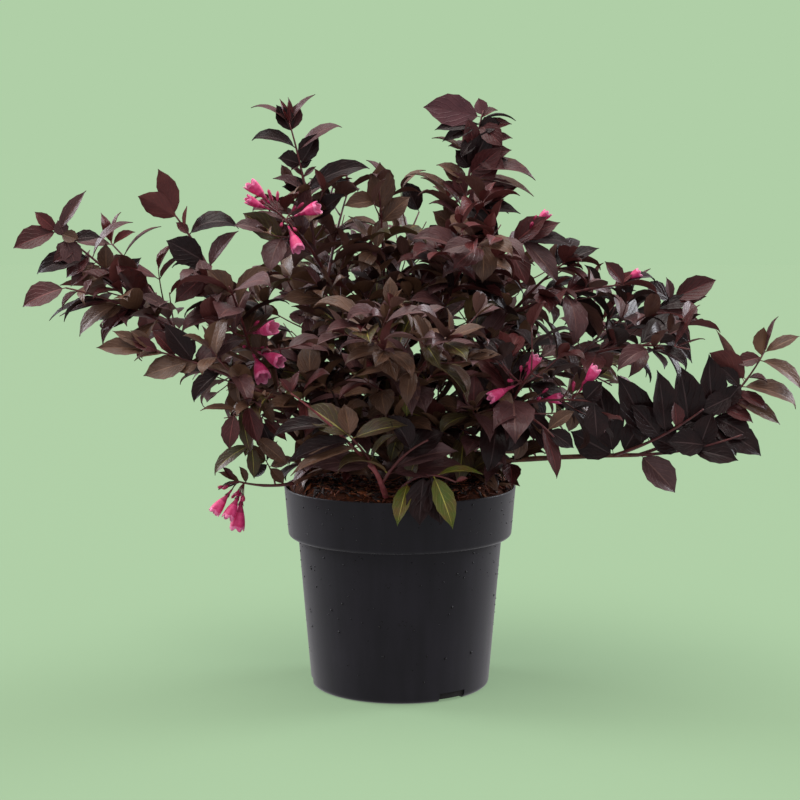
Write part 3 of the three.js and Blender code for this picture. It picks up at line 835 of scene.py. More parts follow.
stool_foot = COMPOST["top"] - STOOL["sunk"]
stool = spun(
    "stool",
    [
        (0, stool_foot),
        (STOOL["flare"], stool_foot),
        (STOOL["flare"] * 0.88, stool_foot + STOOL["height"] * 0.2),
        (STOOL["waist"] * 1.1, stool_foot + STOOL["height"] * 0.45),
        (STOOL["waist"] * 0.95, stool_foot + STOOL["height"] * 0.7),
        (STOOL["top"], stool_foot + STOOL["height"]),
        (STOOL["top"] * 0.6, stool_foot + STOOL["height"] * 1.08),
        (0, stool_foot + STOOL["height"] * 1.1),
    ],
    STOOL["facets"],
)
burr = stool.modifiers.new("round", "SUBSURF")
burr.levels = burr.render_levels = 1
bpy.ops.object.modifier_apply(modifier=burr.name)
for width, depth in GNARLS:
    knots = bpy.data.textures.new("knots", "CLOUDS")
    knots.noise_scale = width
    gnarl = stool.modifiers.new("gnarl", "DISPLACE")
    gnarl.texture = knots
    gnarl.strength = depth
    bpy.ops.object.modifier_apply(modifier=gnarl.name)
smoothed(stool, 50)
# The oldest bark is furrowed and dull.
FURROWED = {"patch": 6 * MM, "grain": 1.2 * MM, "roughness": 0.85, "relief": 0.8}
old_bark = mottled("old_bark", ["#2A1813", "#4A2D24", "#37211B"], **FURROWED)
stool.data.materials.append(old_bark)
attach(stool, "root")
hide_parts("stool")

limbs = []
for bough in BOUGHS:
    bough["curve"] = CentreLine(*bough["line"], foot_of(bough))
    limbs.append(tube(bough["curve"], BOUGH, slot=1 if "ground" in bough else 0))
# Two-year bark is finely ridged with a dull gleam. The spray at the front has smooth red bark.
RIDGED = {"patch": 8 * MM, "grain": 1 * MM, "roughness": 0.7, "relief": 0.6}
SMOOTH = {"patch": 10 * MM, "grain": 0.8 * MM, "roughness": 0.5, "relief": 0.3}
brown_bark = mottled("red_brown_bark", ["#2E1711", "#54301F", "#6A3E28"], **RIDGED)
spray_bark = mottled("spray_bark", ["#6A2A2C", "#8C4448", "#74342E"], **SMOOTH)
boughs = joined("boughs", limbs, [brown_bark, spray_bark])
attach(boughs, "root")
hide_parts(*[f"bough_{bough['name']}" for bough in BOUGHS])

# --------------------------------------------------------------------------------- stems and twigs
# This year's shoots: each stem goes on from its bough, with finer twigs in the axils of its leaves.
# The young bark is smooth and dark red, and a little swollen where each pair of leaves sits.

STEM = {"foot": 2.1 * MM, "tip": 0.9 * MM, "facets": 7, "step": 9 * MM, "ridge": 0.03, "swell": 0.25}
TWIG_WOOD = {"foot": 1.1 * MM, "tip": 0.6 * MM, "facets": 5, "step": 9 * MM}
TWIG = {
    "length": 58,
    "internode": 20,
    "spread": 46,
    "rise": 8,
    "bow": -0.06,
    "axil": 4,
    "taper": 0.45,
    "chance": 0.5,
    "highest": 0.8,
    "leaf_scale": 0.8,
    "azimuth": 15,
    "vary": 0.3,
}
INTERNODE = 27
# How far from its shoot a leaf may stand, and how upright the leaves of a level limb still spread.
REACH = 80 * MM
FLATTEN = 0.4


class Draws:
    """The same run of numbers from 0 to 1 every time for one seed."""

    def __init__(self, seed):
        self.state = (seed * 7919 + 104729) % 4294967296

    def next(self):
        self.state = (self.state * 1664525 + 1013904223) % 4294967296
        return self.state / 4294967296

    def vary(self, limit):
        return limit * (2 * self.next() - 1)

    def between(self, low, high):
        return low + (high - low) * self.next()


def out_of(curve, along, angle, azimuth):
    """A direction out of a limb, at an angle to it and at an azimuth round it. On a flat limb the
    leaves and twigs spread sideways, where the light is."""
    forward = curve.forward(along)
    turn = math.radians(azimuth)
    out = curve.side * math.cos(turn) + np.cross(curve.side, forward) * math.sin(turn)
    out[2] *= FLATTEN + (1 - FLATTEN) * abs(forward[2])
    angle = math.radians(angle)
    return unit(forward * math.cos(angle) + unit(out) * math.sin(angle))


def along_at(node, nodes):
    """How far along a limb its node of this number stands."""
    return (node + NODE_AT) / nodes


shoots = []


def start_shoot(name, settings, start, palette):
    """A stem, with the draws that all its leaves and twigs come from."""
    draws = Draws(len(shoots) + 1)
    line = settings["line"]
    nodes = max(3, round(line[2] / INTERNODE))
    shoot = {"blooms": [], "vigour": 1, "bushy": 1, **settings, "name": name, "draws": draws}
    shoot.update(curve=CentreLine(*line, start), nodes=nodes, palette=palette)
    shoot["azimuth"] = settings.get("turn", 180 * draws.next())
    shoots.append(shoot)


for bough in BOUGHS:
    for i, settings in enumerate(bough["shoots"]):
        start = bough["curve"].at(1 - i * FORK_STEP / bough["line"][2])
        start_shoot(f"foliage_{bough['name']}_{i + 1}", settings, start, bough["palette"])
for settings in SUCKERS:
    start = foot_of(settings)
    start_shoot(f"foliage_{settings['name']}", settings, start, settings["palette"])

# Where the rule's own twigs and leaves stop along a shoot, as the ones that make the outline and the
# front are set one by one.
SETTLED = {
    "left_leader_1": (0.3, 0.45),
    "left_leader_2": (1.0, 0.7),
    "centre_1": (0.8, 0.7),
    "centre_2": (1.0, 0.9),
    "right_leader_1": (0.3, 0.4),
    "right_leader_3": (1.0, 0.85),
    "left_long_1": (0.3, 0.45),
    "left_long_2": (0.3, 0.45),
    "left_long_3": (0.4, 0.5),
    "left_arch_1": (0.35, 0.5),
    "left_arch_2": (1.0, 0.9),
    "left_skirt_1": (0.0, 0.0),
    "left_low_1": (0.5, 0.45),
    "left_low_2": (0.3, 0.3),
    "right_arch_1": (0.4, 0.55),
    "right_arch_2": (0.6, 0.8),
    "right_long_1": (0.0, 0.0),
    "right_long_2": (0.0, 0.0),
    "right_long_3": (0.0, 0.0),
    "right_inner_2": (1.0, 0.8),
    "right_inner_3": (0.5, 0.45),
    "front_spray_1": (0.0, 0.0),
    "front_spray_2": (0.0, 0.0),
    "front_spray_3": (0.2, 0.3),
    "front_sucker": (0.0, 0.0),
}


def settled(shoot):
    """How far along a shoot the rule's twigs and its leaves stand."""
    return SETTLED.get(shoot["name"].removeprefix("foliage_"), (1.0, 2.0))


def new_twig(curve, along, spread, azimuth, reach, nodes, draws):
    """A thin twig out of a limb. The azimuth of its own leaves is drawn."""
    bearing, climb = angles_of(out_of(curve, along, spread, azimuth))
    line = CentreLine(bearing, climb + TWIG["rise"], reach, TWIG["bow"], curve.at(along))
    return {"curve": line, "nodes": nodes, "azimuth": 180 * draws.next(), "draws": draws}


for shoot in shoots:
    shoot["twigs"] = []
    draws, length = shoot["draws"], shoot["curve"].length
    for node in range(shoot["nodes"] - 1):
        for half in (0, 180):
            axil = along_at(node, shoot["nodes"]) + TWIG["axil"] / length
            vigour = shoot["bushy"] * (1 + draws.vary(TWIG["vary"]))
            reach = TWIG["length"] * vigour * (1 - TWIG["taper"] * axil)
            azimuth = shoot["azimuth"] + 90 * node + half + draws.vary(TWIG["azimuth"])
            grows = draws.next() < TWIG["chance"] * shoot["bushy"] ** 2
            if not grows or axil > min(TWIG["highest"], settled(shoot)[0]):
                continue
            count = int(reach / TWIG["internode"]) - 1
            twig = new_twig(shoot["curve"], axil, TWIG["spread"], azimuth, reach, count, draws)
            shoot["twigs"].append(twig)

# Spurs set one by one: the limb, how far along it, which way the spur points as seen from the front
# (0 is right and 90 up), its length and how far it leans forwards.
curves = {f"bough_{bough['name']}": bough["curve"] for bough in BOUGHS}
curves.update({shoot["name"]: shoot["curve"] for shoot in shoots})
SPURS = {
    "olive_spur": ("foliage_left_leader_2", 0.35, 180, 34, 50),
    "brown_spur": ("foliage_right_leader_2", 0.6, 56, 30, 45),
    "low_hanger": ("foliage_left_low_2", 0.0, -115, 66, 10),
    "skirt_riser": ("foliage_left_skirt_1", 0.3, 110, 30, 5),
}
SPUR_BOW = 0.06


def lean_out(points, lean):
    """A direction as seen from the front: 0 points right and 90 up, and it leans forwards."""
    points, lean = math.radians(points), math.radians(lean)
    return np.array(
        [math.cos(points) * math.cos(lean), -math.sin(lean), math.sin(points) * math.cos(lean)]
    )


for name, (limb, along, points, length, lean) in SPURS.items():
    line = (*angles_of(lean_out(points, lean)), length, SPUR_BOW, curves[limb].at(along))
    spur = {"name": name, "curve": CentreLine(*line)}
    host = next(shoot for shoot in shoots if shoot["name"] == limb)
    host.setdefault("spurs", []).append(spur)

# Short twigs all along the inner part of the boughs, which fill the shade in the middle of the shrub.
INNER = {
    "left_leader": (0.3, 0.9), "centre": (0.3, 0.95), "right_leader": (0.3, 0.9),
    "left_arch": (0.45, 0.9), "left_low": (0.35, 0.95), "left_skirt": (0.3, 0.8),
    "front_rise": (0.25, 0.95), "right_inner": (0.3, 0.95), "right_upper": (0.3, 0.9),
    "right_arch": (0.3, 0.7), "right_long": (0.12, 0.42), "back_left": (0.3, 0.9),
    "back_right": (0.3, 0.9), "left_long": (0.3, 0.6),
}
INNER_TWIG = {
    "spacing": 24, "length": 52, "spread": 58, "vary": 0.35, "azimuth": 25, "leaf_scale": 0.85,
    "seed": 500,
}
for bough in BOUGHS:
    first, last = INNER.get(bough["name"], (1, 1))
    host = next(shoot for shoot in shoots if shoot["name"] == f"foliage_{bough['name']}_1")
    draws = Draws(INNER_TWIG["seed"] + len(bough["name"]))
    count = int((last - first) * bough["line"][2] / INNER_TWIG["spacing"])
    inner = {"curve": bough["curve"], "bushy": 1.0, "palette": "shade", "twigs": []}
    for i in range(count):
        along = first + (last - first) * (i + 0.5) / count
        for half in (0, 180):
            azimuth = 90 * i + half + draws.vary(INNER_TWIG["azimuth"])
            reach = INNER_TWIG["length"] * (1 + draws.vary(INNER_TWIG["vary"]))
            leafy = int(reach / TWIG["internode"])
            twig = new_twig(bough["curve"], along, INNER_TWIG["spread"], azimuth, reach, leafy, draws)
            inner["twigs"].append(twig)
    host["inner"] = inner

# The stem at the front that has the red bark of its bough.
RED_STEM = "foliage_front_spray_2"
young_bark = mottled("young_red_bark", ["#3A1718", "#5E2828", "#4C281F"], **SMOOTH)
wood = []
for shoot in shoots:
    slot = 1 if shoot["name"] == RED_STEM else 0
    wood.append(tube(shoot["curve"], STEM, shoot["nodes"], slot))
    extra = shoot.get("spurs", []) + shoot.get("inner", {"twigs": []})["twigs"]
    for twig in shoot["twigs"] + extra:
        wood.append(tube(twig["curve"], TWIG_WOOD))
stems = joined("stems_and_twigs", wood, [young_bark, spray_bark])
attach(stems, "root")
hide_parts(*[shoot["name"] for shoot in shoots])

# ------------------------------------------------------------------------------------------ leaves
# Opposite pairs of pointed oval leaves, each pair crossed to the last: quilted between the veins,
# folded along the midrib, arched over, with a drawn-out tip. They are dark purple with a mauve sheen,
# wine red while young, and olive with a yellow midrib where the sun doesn't reach.

LEAF = {
    "length": 66 * MM,
    "width": 0.52,
    "widest": 0.40,
    "petiole": 0.07,
    "thick": 0.45 * MM,
    "skyward": 0.62,
    "spread": 60,
    "closing": 20,
    "quilt": 0.006,
    "slant": 0.07,
    "clear": 5.2 * MM,
    "scallop": 0.035,
    "hook_from": 0.74,
    "keel": 0.35 * MM,
    "raised": 0.25 * MM,
    "stalk_radius": 0.45 * MM,
    "tip_radius": 0.12 * MM,
    "marks": (0.35, 0.62, 0.9),
    "shrink": 0.12,
}
# How the rule's leaves vary, in degrees and as parts of their size, and how likely one is young: near
# the tip of a shoot, and in its first folded pair.
VARY = {"azimuth": 13, "angle": 12, "size": 0.2, "tip_angle": 6, "tip_size": 0.12}
YOUNG = {"from": 0.72, "chance": 0.5, "folded": 0.4}
# The blade is drawn at rows along its length, by columns across its upper face and its underside, as
# parts of its half width.
ROWS = [0.0, 0.07, 0.12, 0.21, 0.30, 0.39, 0.48, 0.57, 0.66, 0.75, 0.84, 0.93, 1.0]
UPPER = [-1.0, -0.5, -0.05, 0.05, 0.5, 1.0]
UNDER = [-0.07, 0.07]

# How a leaf is held: the limits of each angle in degrees, and of its sideways sway, the hollow of its
# halves and its breadth as parts of its size. First a grown leaf of the rule, then a folded one of the
# pairs at the tip, then what both have, and last the leaves that are set one by one.
GROWN = {"bend": (12, 78), "hook": (10, 75), "fold": (8, 38)}
FOLDED = {"bend": (-12, 45), "hook": (10, 60), "fold": (22, 42)}
HELD = {
    "roll": (-24, 24), "twist": (-26, 26), "sway": (-0.09, 0.09), "cup": (0.02, 0.2), "slim": (0.8, 1.08),
}
SHOWN_SEED = 1000
SHOWN_HELD = {
    "hook": (-5, 40), "fold": (14, 38), "twist": (-20, 20), "sway": (-0.05, 0.05), "cup": (0.05, 0.2),
}
# The last pairs of a shoot: how far along it they stand, their angle to it and their size.
TIP_PAIRS = [(0.965, 38, 0.7), (0.985, 22, 0.42), (0.995, 12, 0.2)]
# How a leaf of the rule gives way to others: its sizes, and its turns round the limb.
GIVE_WAY = {"sizes": (1, 0.85, 0.7), "turns": (0, 20, -20, 40, -40)}

# Each tint has two colours for its upper face, two for its underside and two for its midrib.
TINTS = {
    "purple": (["#482B2C", "#583839"], ["#553730", "#644337"], ["#6C4540", "#5C3834"]),
    "mauve": (["#5E4344", "#4E3535"], ["#5B3E36", "#6A4A40"], ["#7C5A54", "#6A4843"]),
    "plum": (["#4E2C32", "#5E373C"], ["#5A363A", "#6B4043"], ["#5A2A30", "#4C262B"]),
    "wine": (["#43201F", "#4F2425"], ["#542826", "#63322D"], ["#743534", "#652828"]),
    "young": (["#4E2020", "#5E2727"], ["#5E2A27", "#6E3430"], ["#80322F", "#6A2827"]),
    "brown": (["#4E372B", "#624637"], ["#604431", "#72523D"], ["#7E5C42", "#6C4A35"]),
    "dark": (["#1C1112", "#271717"], ["#2A1A18", "#36221E"], ["#3A2020", "#2E1A1A"]),
    "olive": (["#3E3820", "#4A3224"], ["#5E4A2E", "#6B5638"], ["#8E8A36", "#7A6A30"]),
    "green": (["#4C5A1A", "#5E4C20"], ["#6B6A38", "#7A7040"], ["#A8A63C", "#8E8230"]),
}
# How often each tint comes, for the leaves low on a shoot and for its young tip.
PALETTES = {
    "purple": ({"purple": 5, "mauve": 3, "brown": 2, "dark": 1}, {"wine": 3, "purple": 3, "young": 1}),
    "wine": ({"purple": 4, "wine": 3, "mauve": 2, "brown": 1}, {"young": 3, "wine": 4}),
    "brown": ({"brown": 5, "purple": 3, "dark": 2, "olive": 1}, {"wine": 2, "brown": 3, "purple": 2}),
    # The light palette leans to the paler tints. The centre, the front rise and the back boughs take it:
    # partly the leaves' own colour, partly painted light that lifts them out of the crown's shade.
    "light": ({"mauve": 4, "brown": 4, "purple": 2, "olive": 1}, {"mauve": 3, "brown": 3, "wine": 2}),
    "deep": ({"purple": 3, "dark": 5, "wine": 2}, {"wine": 4, "dark": 3}),
    "dark": ({"dark": 7, "purple": 3, "wine": 1}, {"dark": 2, "wine": 3, "young": 1}),
    "olive": ({"brown": 4, "olive": 4, "purple": 2}, {"olive": 2, "wine": 2, "purple": 2}),
    "green": ({"green": 5, "olive": 4}, {"green": 3, "young": 2}),
    "shade": ({"dark": 1, "brown": 5, "purple": 2, "olive": 2}, {"dark": 2, "wine": 2, "brown": 3}),
}

# The leaves that make the outline and the front, shoot by shoot, set one by one in the front view. Each
# has its foot and its tip (across and down, in pixels of a view of 800 by 800), its width there in pixels,
# how far it leans forwards, how far its upper face is turned from the sky to the front, how far it
# arches over, and its tint.
SHOWN = {
    "left_leader_1": [
        (287, 133, 278, 104, 19, 5, 75, -30, "dark"), (290, 132, 298, 103, 19, 0, 75, -30, "purple"),
        (290, 124, 250, 108, 7, 0, 20, 65, "purple"), (291, 124, 315, 94, 7, 0, 30, 30, "purple"),
        (290, 118, 279, 99, 6, 0, 60, 10, "young"), (290, 118, 289, 97, 6, 5, 60, 10, "young"),
        (297, 148, 250, 141, 11, 0, 30, 60, "dark"), (298, 152, 343, 125, 11, 0, 30, 45, "purple"),
        (303, 163, 318, 133, 24, 10, 70, -20, "dark"), (303, 164, 278, 157, 17, 20, 60, 20, "dark"),
        (303, 176, 291, 166, 5, 0, 50, 0, "wine"), (304, 178, 316, 166, 5, 0, 50, 0, "wine"),
        (306, 190, 371, 165, 16, 0, 50, 45, "dark"), (306, 192, 350, 181, 8, 10, 20, 30, "dark"),
        (305, 193, 273, 178, 11, 0, 30, 30, "purple"), (307, 197, 296, 176, 10, -10, 70, 10, "dark"),
        (312, 222, 345, 194, 18, 10, 60, 20, "dark"), (310, 215, 326, 190, 14, -10, 70, 10, "brown"),
        (300, 165, 291, 170, 8, 0, 60, 10, "wine"), (301, 168, 312, 160, 10, 5, 60, 10, "dark"),
        (305, 192, 282, 186, 9, 5, 50, 20, "dark"),
    ],
    "olive_spur": [
        (284, 243, 242, 213, 25, 10, 75, 20, "olive"),
    ],
    "right_leader_1": [
        (480, 117, 423, 104, 29, 5, 75, 10, "plum"), (478, 114, 478, 98, 18, 0, -80, 10, "plum"),
        (482, 118, 498, 110, 8, 0, 40, 20, "wine"), (482, 122, 516, 122, 7, 0, 10, 65, "dark"),
        (480, 124, 504, 146, 24, 20, 80, 30, "wine"), (480, 130, 500, 122, 18, 10, 80, 30, "dark"),
        (478, 144, 513, 138, 11, 0, 40, 20, "wine"), (478, 124, 434, 129, 11, 10, 50, 25, "dark"),
        (478, 122, 441, 140, 13, 10, 70, 20, "dark"), (478, 134, 461, 158, 13, 20, 80, 10, "dark"),
        (475, 152, 506, 168, 18, 20, 80, 10, "wine"), (474, 160, 431, 138, 8, 0, 20, 45, "brown"),
        (474, 165, 463, 128, 12, 10, -60, 15, "wine"), (474, 172, 489, 128, 24, 10, 85, 15, "dark"),
        (473, 175, 503, 148, 22, 20, 85, 10, "wine"), (472, 172, 536, 182, 15, 0, 40, 65, "purple"),
        (471, 180, 534, 197, 11, 0, 25, 40, "brown"), (471, 184, 443, 169, 20, 0, 60, 20, "brown"),
        (465, 208, 409, 174, 8, 0, 20, 45, "brown"), (466, 200, 441, 181, 11, 0, 45, 10, "wine"),
        (466, 200, 500, 238, 26, 20, 80, 20, "dark"), (467, 205, 519, 186, 24, 0, 60, 20, "wine"),
        (466, 208, 521, 213, 14, 10, 40, 30, "dark"), (460, 232, 432, 212, 18, 10, 70, 30, "brown"),
        (478, 150, 468, 118, 16, 15, 80, 10, "wine"), (476, 158, 512, 150, 16, 10, 70, 15, "wine"),
        (474, 170, 455, 150, 16, 10, 70, 15, "dark"), (472, 186, 500, 168, 20, 10, 75, 15, "wine"),
        (470, 196, 452, 172, 18, 10, 75, 15, "wine"),
        (480, 126, 512, 124, 12, 5, 60, 20, "wine"), (478, 150, 448, 146, 10, 0, 40, 20, "purple"),
        (470, 182, 436, 164, 12, 0, 50, 20, "brown"), (474, 164, 508, 160, 14, 10, 70, 15, "dark"),
    ],
    "right_leader_3": [
        (512, 243, 548, 217, 22, 10, 65, 15, "wine"), (508, 246, 527, 286, 22, 20, 75, 20, "wine"),
        (520, 240, 560, 284, 18, 10, 60, 35, "mauve"),
        (522, 244, 574, 246, 14, 0, 45, 40, "dark"), (516, 240, 560, 222, 16, 0, 60, 20, "wine"),
    ],
    "brown_spur": [
        (483, 241, 484, 283, 33, 15, 80, 15, "brown"),
    ],
    "left_long_1": [
        (60, 228, 87, 191, 15, 0, 70, 10, "purple"), (54, 230, 34, 212, 14, 5, 80, 10, "young"),
        (54, 233, 13, 249, 22, 10, 60, 20, "wine"), (70, 238, 102, 237, 12, 10, 50, 15, "dark"),
        (66, 236, 78, 268, 24, 10, 80, 10, "purple"), (86, 260, 35, 274, 20, 0, 60, 45, "dark"),
        (92, 258, 134, 222, 9, 0, 20, 60, "purple"), (106, 271, 105, 243, 24, 10, 85, 10, "brown"),
        (100, 265, 85, 285, 20, 20, 80, 10, "brown"), (122, 284, 142, 258, 16, 0, 60, 20, "dark"),
        (62, 232, 79, 241, 13, 10, 70, 10, "brown"),
        (66, 236, 58, 220, 14, 5, 80, 10, "purple"), (72, 240, 60, 258, 16, 10, 75, 10, "purple"),
        (78, 246, 52, 262, 14, 10, 70, 10, "wine"), (90, 256, 66, 278, 16, 10, 70, 15, "wine"),
        (96, 262, 70, 286, 14, 10, 60, 20, "purple"),
    ],
    "left_long_2": [
        (112, 243, 100, 213, 9, 0, 45, 10, "young"), (112, 243, 119, 211, 7, 0, 20, 10, "young"),
        (114, 244, 135, 231, 8, 0, 40, 20, "young"), (113, 245, 75, 243, 9, 0, 40, 20, "purple"),
        (122, 258, 162, 227, 7, 0, 10, 45, "wine"),
    ],
    "left_long_3": [
        (66, 288, 22, 307, 22, 10, 55, 30, "wine"), (85, 293, 92, 279, 14, 0, 40, 0, "wine"),
        (78, 292, 61, 308, 7, 0, 40, 20, "purple"), (98, 299, 64, 323, 8, 0, 10, 55, "dark"),
        (108, 302, 49, 321, 8, 0, 20, 45, "dark"), (118, 305, 79, 336, 14, 0, 35, 45, "brown"),
        (112, 300, 60, 318, 8, 0, 30, 30, "wine"), (124, 306, 96, 322, 12, 5, 50, 20, "brown"),
        (140, 312, 100, 330, 12, 5, 50, 20, "wine"),
        (130, 308, 108, 330, 14, 5, 50, 20, "wine"),
    ],
    "left_low_1": [
        (150, 348, 96, 347, 17, 10, 60, 10, "brown"), (165, 353, 134, 361, 9, 0, 30, 45, "brown"),
        (192, 358, 144, 378, 19, 10, 50, 15, "brown"), (220, 373, 192, 402, 14, 10, 50, 50, "dark"),
        (152, 351, 130, 330, 12, 0, 60, 20, "brown"), (180, 358, 196, 340, 16, 0, 75, 10, "dark"),
        (196, 358, 163, 324, 20, 10, 70, 20, "dark"),
        (178, 352, 152, 330, 14, 5, 60, 20, "wine"), (200, 360, 176, 372, 14, 5, 60, 20, "brown"),
        (160, 351, 128, 338, 12, 5, 60, 15, "wine"), (150, 349, 112, 332, 10, 5, 50, 20, "brown"),
    ],
    "left_arch_1": [
        (175, 217, 159, 168, 19, 10, -75, 15, "wine"), (176, 219, 138, 194, 24, 10, -75, 15, "wine"),
        (185, 228, 187, 206, 8, 0, 0, 0, "young"), (188, 236, 241, 231, 15, 0, 45, 110, "dark"),
        (203, 262, 166, 240, 27, 15, 75, 10, "dark"), (206, 270, 238, 230, 14, 5, 45, 30, "purple"),
        (209, 268, 233, 306, 24, 10, 80, 10, "wine"),
        (210, 272, 174, 303, 20, 10, 75, 15, "wine"),
        (216, 284, 190, 296, 18, 10, 70, 15, "wine"), (188, 236, 176, 222, 8, 0, 50, 0, "wine"),
    ],
    "left_arch_2": [
        (232, 296, 208, 268, 21, 10, 75, 10, "brown"),
    ],
    "left_low_2": [
        (237, 408, 200, 410, 8, 0, 20, 30, "brown"), (236, 415, 229, 450, 17, 10, 80, 40, "wine"),
        (243, 412, 248, 453, 13, 0, 80, 10, "olive"), (250, 410, 257, 444, 20, 20, 80, 20, "wine"),
        (262, 403, 274, 424, 10, 0, 60, 10, "brown"),
    ],
    "low_hanger": [
        (253, 445, 212, 475, 12, 0, 50, 45, "olive"), (253, 445, 255, 479, 12, 10, 70, 10, "olive"),
        (256, 437, 287, 466, 14, 10, 60, 20, "brown"), (263, 422, 273, 446, 14, 0, 80, 10, "dark"),
        (262, 430, 262, 452, 10, 5, 60, 10, "brown"), (258, 440, 244, 456, 9, 5, 60, 10, "olive"),
        (266, 420, 288, 440, 10, 5, 60, 10, "wine"),
    ],
    "skirt_riser": [
        (267, 461, 250, 444, 6, 0, 50, 10, "brown"), (267, 461, 278, 441, 6, 0, 50, 10, "dark"),
        (269, 467, 294, 458, 10, 0, 60, 10, "brown"),
        (268, 464, 254, 478, 10, 5, 60, 15, "dark"), (269, 468, 284, 484, 10, 5, 60, 15, "brown"),
        (266, 460, 256, 462, 8, 0, 60, 10, "olive"),
    ],
    "left_skirt_1": [
        (246, 483, 240, 466, 7, 0, 50, 10, "brown"), (240, 482, 218, 473, 6, 0, 30, 20, "brown"),
        (240, 482, 218, 489, 6, 0, 30, -10, "dark"), (234, 480, 222, 467, 5, 0, 40, 10, "wine"),
    ],
    "right_arch_1": [
        (672, 298, 716, 278, 24, 0, 75, 10, "wine"), (672, 299, 707, 297, 12, 0, 60, 10, "wine"),
        (671, 300, 643, 284, 19, 10, 50, 20, "dark"), (671, 300, 667, 277, 9, 10, 60, 10, "purple"),
        (655, 308, 702, 300, 11, 0, 45, 30, "dark"), (643, 318, 694, 362, 24, 10, 60, 30, "dark"),
        (650, 312, 700, 322, 10, 5, 50, 40, "wine"),
        (656, 308, 690, 344, 16, 5, 60, 30, "wine"),
    ],
    "right_arch_2": [
        (674, 347, 699, 303, 8, 0, 20, 10, "wine"), (674, 347, 705, 337, 2, 0, 20, 0, "wine"),
    ],
    "right_long_1": [
        (762, 357, 764, 326, 17, 10, -80, 10, "brown"), (764, 353, 800, 336, 9, 0, 30, 5, "brown"),
        (764, 353, 776, 315, 5, 0, 30, 0, "purple"), (760, 357, 735, 364, 15, 0, 60, 10, "wine"),
        (761, 360, 801, 391, 13, 0, 30, 50, "brown"), (741, 387, 799, 409, 17, 0, 30, 45, "brown"),
        (746, 380, 709, 352, 22, 0, -60, 20, "wine"), (744, 382, 717, 329, 8, -10, -60, 10, "mauve"),
        (716, 417, 707, 355, 30, 10, 75, -15, "dark"), (728, 398, 780, 424, 12, 0, 35, 30, "brown"),
        (704, 418, 763, 456, 25, 10, 60, 15, "dark"), (688, 432, 678, 363, 36, 15, 80, 25, "dark"),
        (748, 376, 768, 382, 8, 0, 20, 20, "purple"), (730, 400, 753, 400, 17, 10, 70, 10, "wine"),
        (722, 408, 754, 422, 13, 10, 50, 20, "wine"), (705, 422, 738, 456, 24, 10, 60, 20, "dark"),
        (722, 408, 742, 384, 18, 0, 80, 10, "dark"),
        (716, 412, 672, 432, 22, 15, 70, 15, "dark"), (735, 396, 700, 412, 20, 20, 75, 10, "dark"),
        (712, 418, 752, 438, 24, 10, 50, 20, "dark"), (737, 392, 768, 410, 12, 10, 50, 20, "wine"),
        (741, 388, 720, 366, 12, 5, 60, 15, "dark"),
    ],
    "right_long_2": [
        (640, 452, 675, 494, 34, 10, 75, 25, "mauve"), (690, 448, 738, 462, 24, 10, 60, 20, "dark"),
        (673, 452, 652, 418, 30, 10, 80, 10, "dark"), (700, 446, 712, 412, 26, 10, 80, 10, "dark"),
        (706, 444, 666, 440, 28, 15, 70, 15, "dark"), (680, 450, 648, 434, 22, 15, 75, 15, "dark"),
    ],
    "right_long_3": [
        (613, 454, 598, 378, 36, 0, 85, 10, "dark"), (623, 452, 645, 415, 28, 0, 80, 10, "dark"),
        (613, 455, 570, 432, 34, 0, 85, 10, "dark"), (648, 440, 617, 374, 30, 15, 70, 25, "dark"),
        (664, 432, 657, 370, 27, 10, 75, 10, "dark"), (641, 446, 646, 392, 24, 10, 80, 20, "dark"),
        (660, 436, 630, 405, 24, 15, 75, 30, "dark"), (676, 428, 674, 402, 14, 0, 60, 20, "wine"),
        (650, 436, 666, 388, 20, 5, 70, 15, "dark"),
    ],
    "right_inner_3": [
        (541, 425, 558, 479, 13, 10, 60, 30, "wine"), (547, 430, 575, 412, 12, 0, 50, 30, "brown"),
        (547, 430, 574, 448, 16, 5, 65, 20, "dark"),
    ],
    "right_inner_2": [
        (584, 401, 603, 382, 24, 10, 80, 10, "dark"), (594, 402, 596, 440, 28, 10, 80, 10, "dark"),
    ],
    "front_spray_1": [
        (350, 436, 307, 405, 27, -22, 65, 15, "olive"), (352, 439, 408, 428, 15, 0, 40, 35, "olive"),
        (369, 463, 399, 434, 8, 0, 20, 60, "olive"), (374, 474, 312, 468, 17, 5, 40, 40, "mauve"),
        (350, 437, 344, 404, 20, -25, 75, 15, "brown"),
        (345, 450, 288, 462, 15, -15, 40, 30, "dark"), (350, 455, 290, 476, 12, 5, 40, 35, "brown"),
    ],
    "front_spray_2": [
        (333, 427, 271, 436, 12, 0, 35, 45, "dark"), (354, 448, 300, 466, 12, 0, 25, 40, "brown"),
        (291, 393, 280, 378, 7, 0, 50, 10, "wine"), (291, 393, 300, 370, 8, 0, 50, 10, "wine"),
    ],
    "front_spray_3": [
        (382, 462, 458, 450, 19, 0, 40, 35, "mauve"), (401, 458, 446, 434, 20, -10, 40, 40, "dark"),
        (411, 450, 389, 414, 24, 0, 50, 30, "dark"),
    ],
    "front_sucker": [
        (408, 483, 418, 456, 11, 0, 50, 15, "olive"), (409, 484, 399, 526, 17, 38, 75, 20, "green"),
        (436, 475, 483, 477, 9, 0, 20, 50, "green"), (433, 476, 456, 528, 22, 28, 75, 10, "green"),
        (424, 478, 419, 526, 40, 15, 75, 10, "dark"), (430, 478, 442, 525, 34, 15, 75, 10, "dark"),
        (455, 482, 468, 478, 4, 0, 40, 10, "young"),
    ],
    "centre_1": [
        (381, 212, 378, 162, 32, 10, 80, 10, "brown"), (380, 201, 344, 207, 18, 10, 60, 20, "brown"),
        (381, 223, 410, 196, 18, 10, 70, 20, "brown"),
    ],
    "centre_2": [
        (419, 212, 403, 181, 24, 10, 75, 15, "dark"),
    ],
    "right_upper_2": [
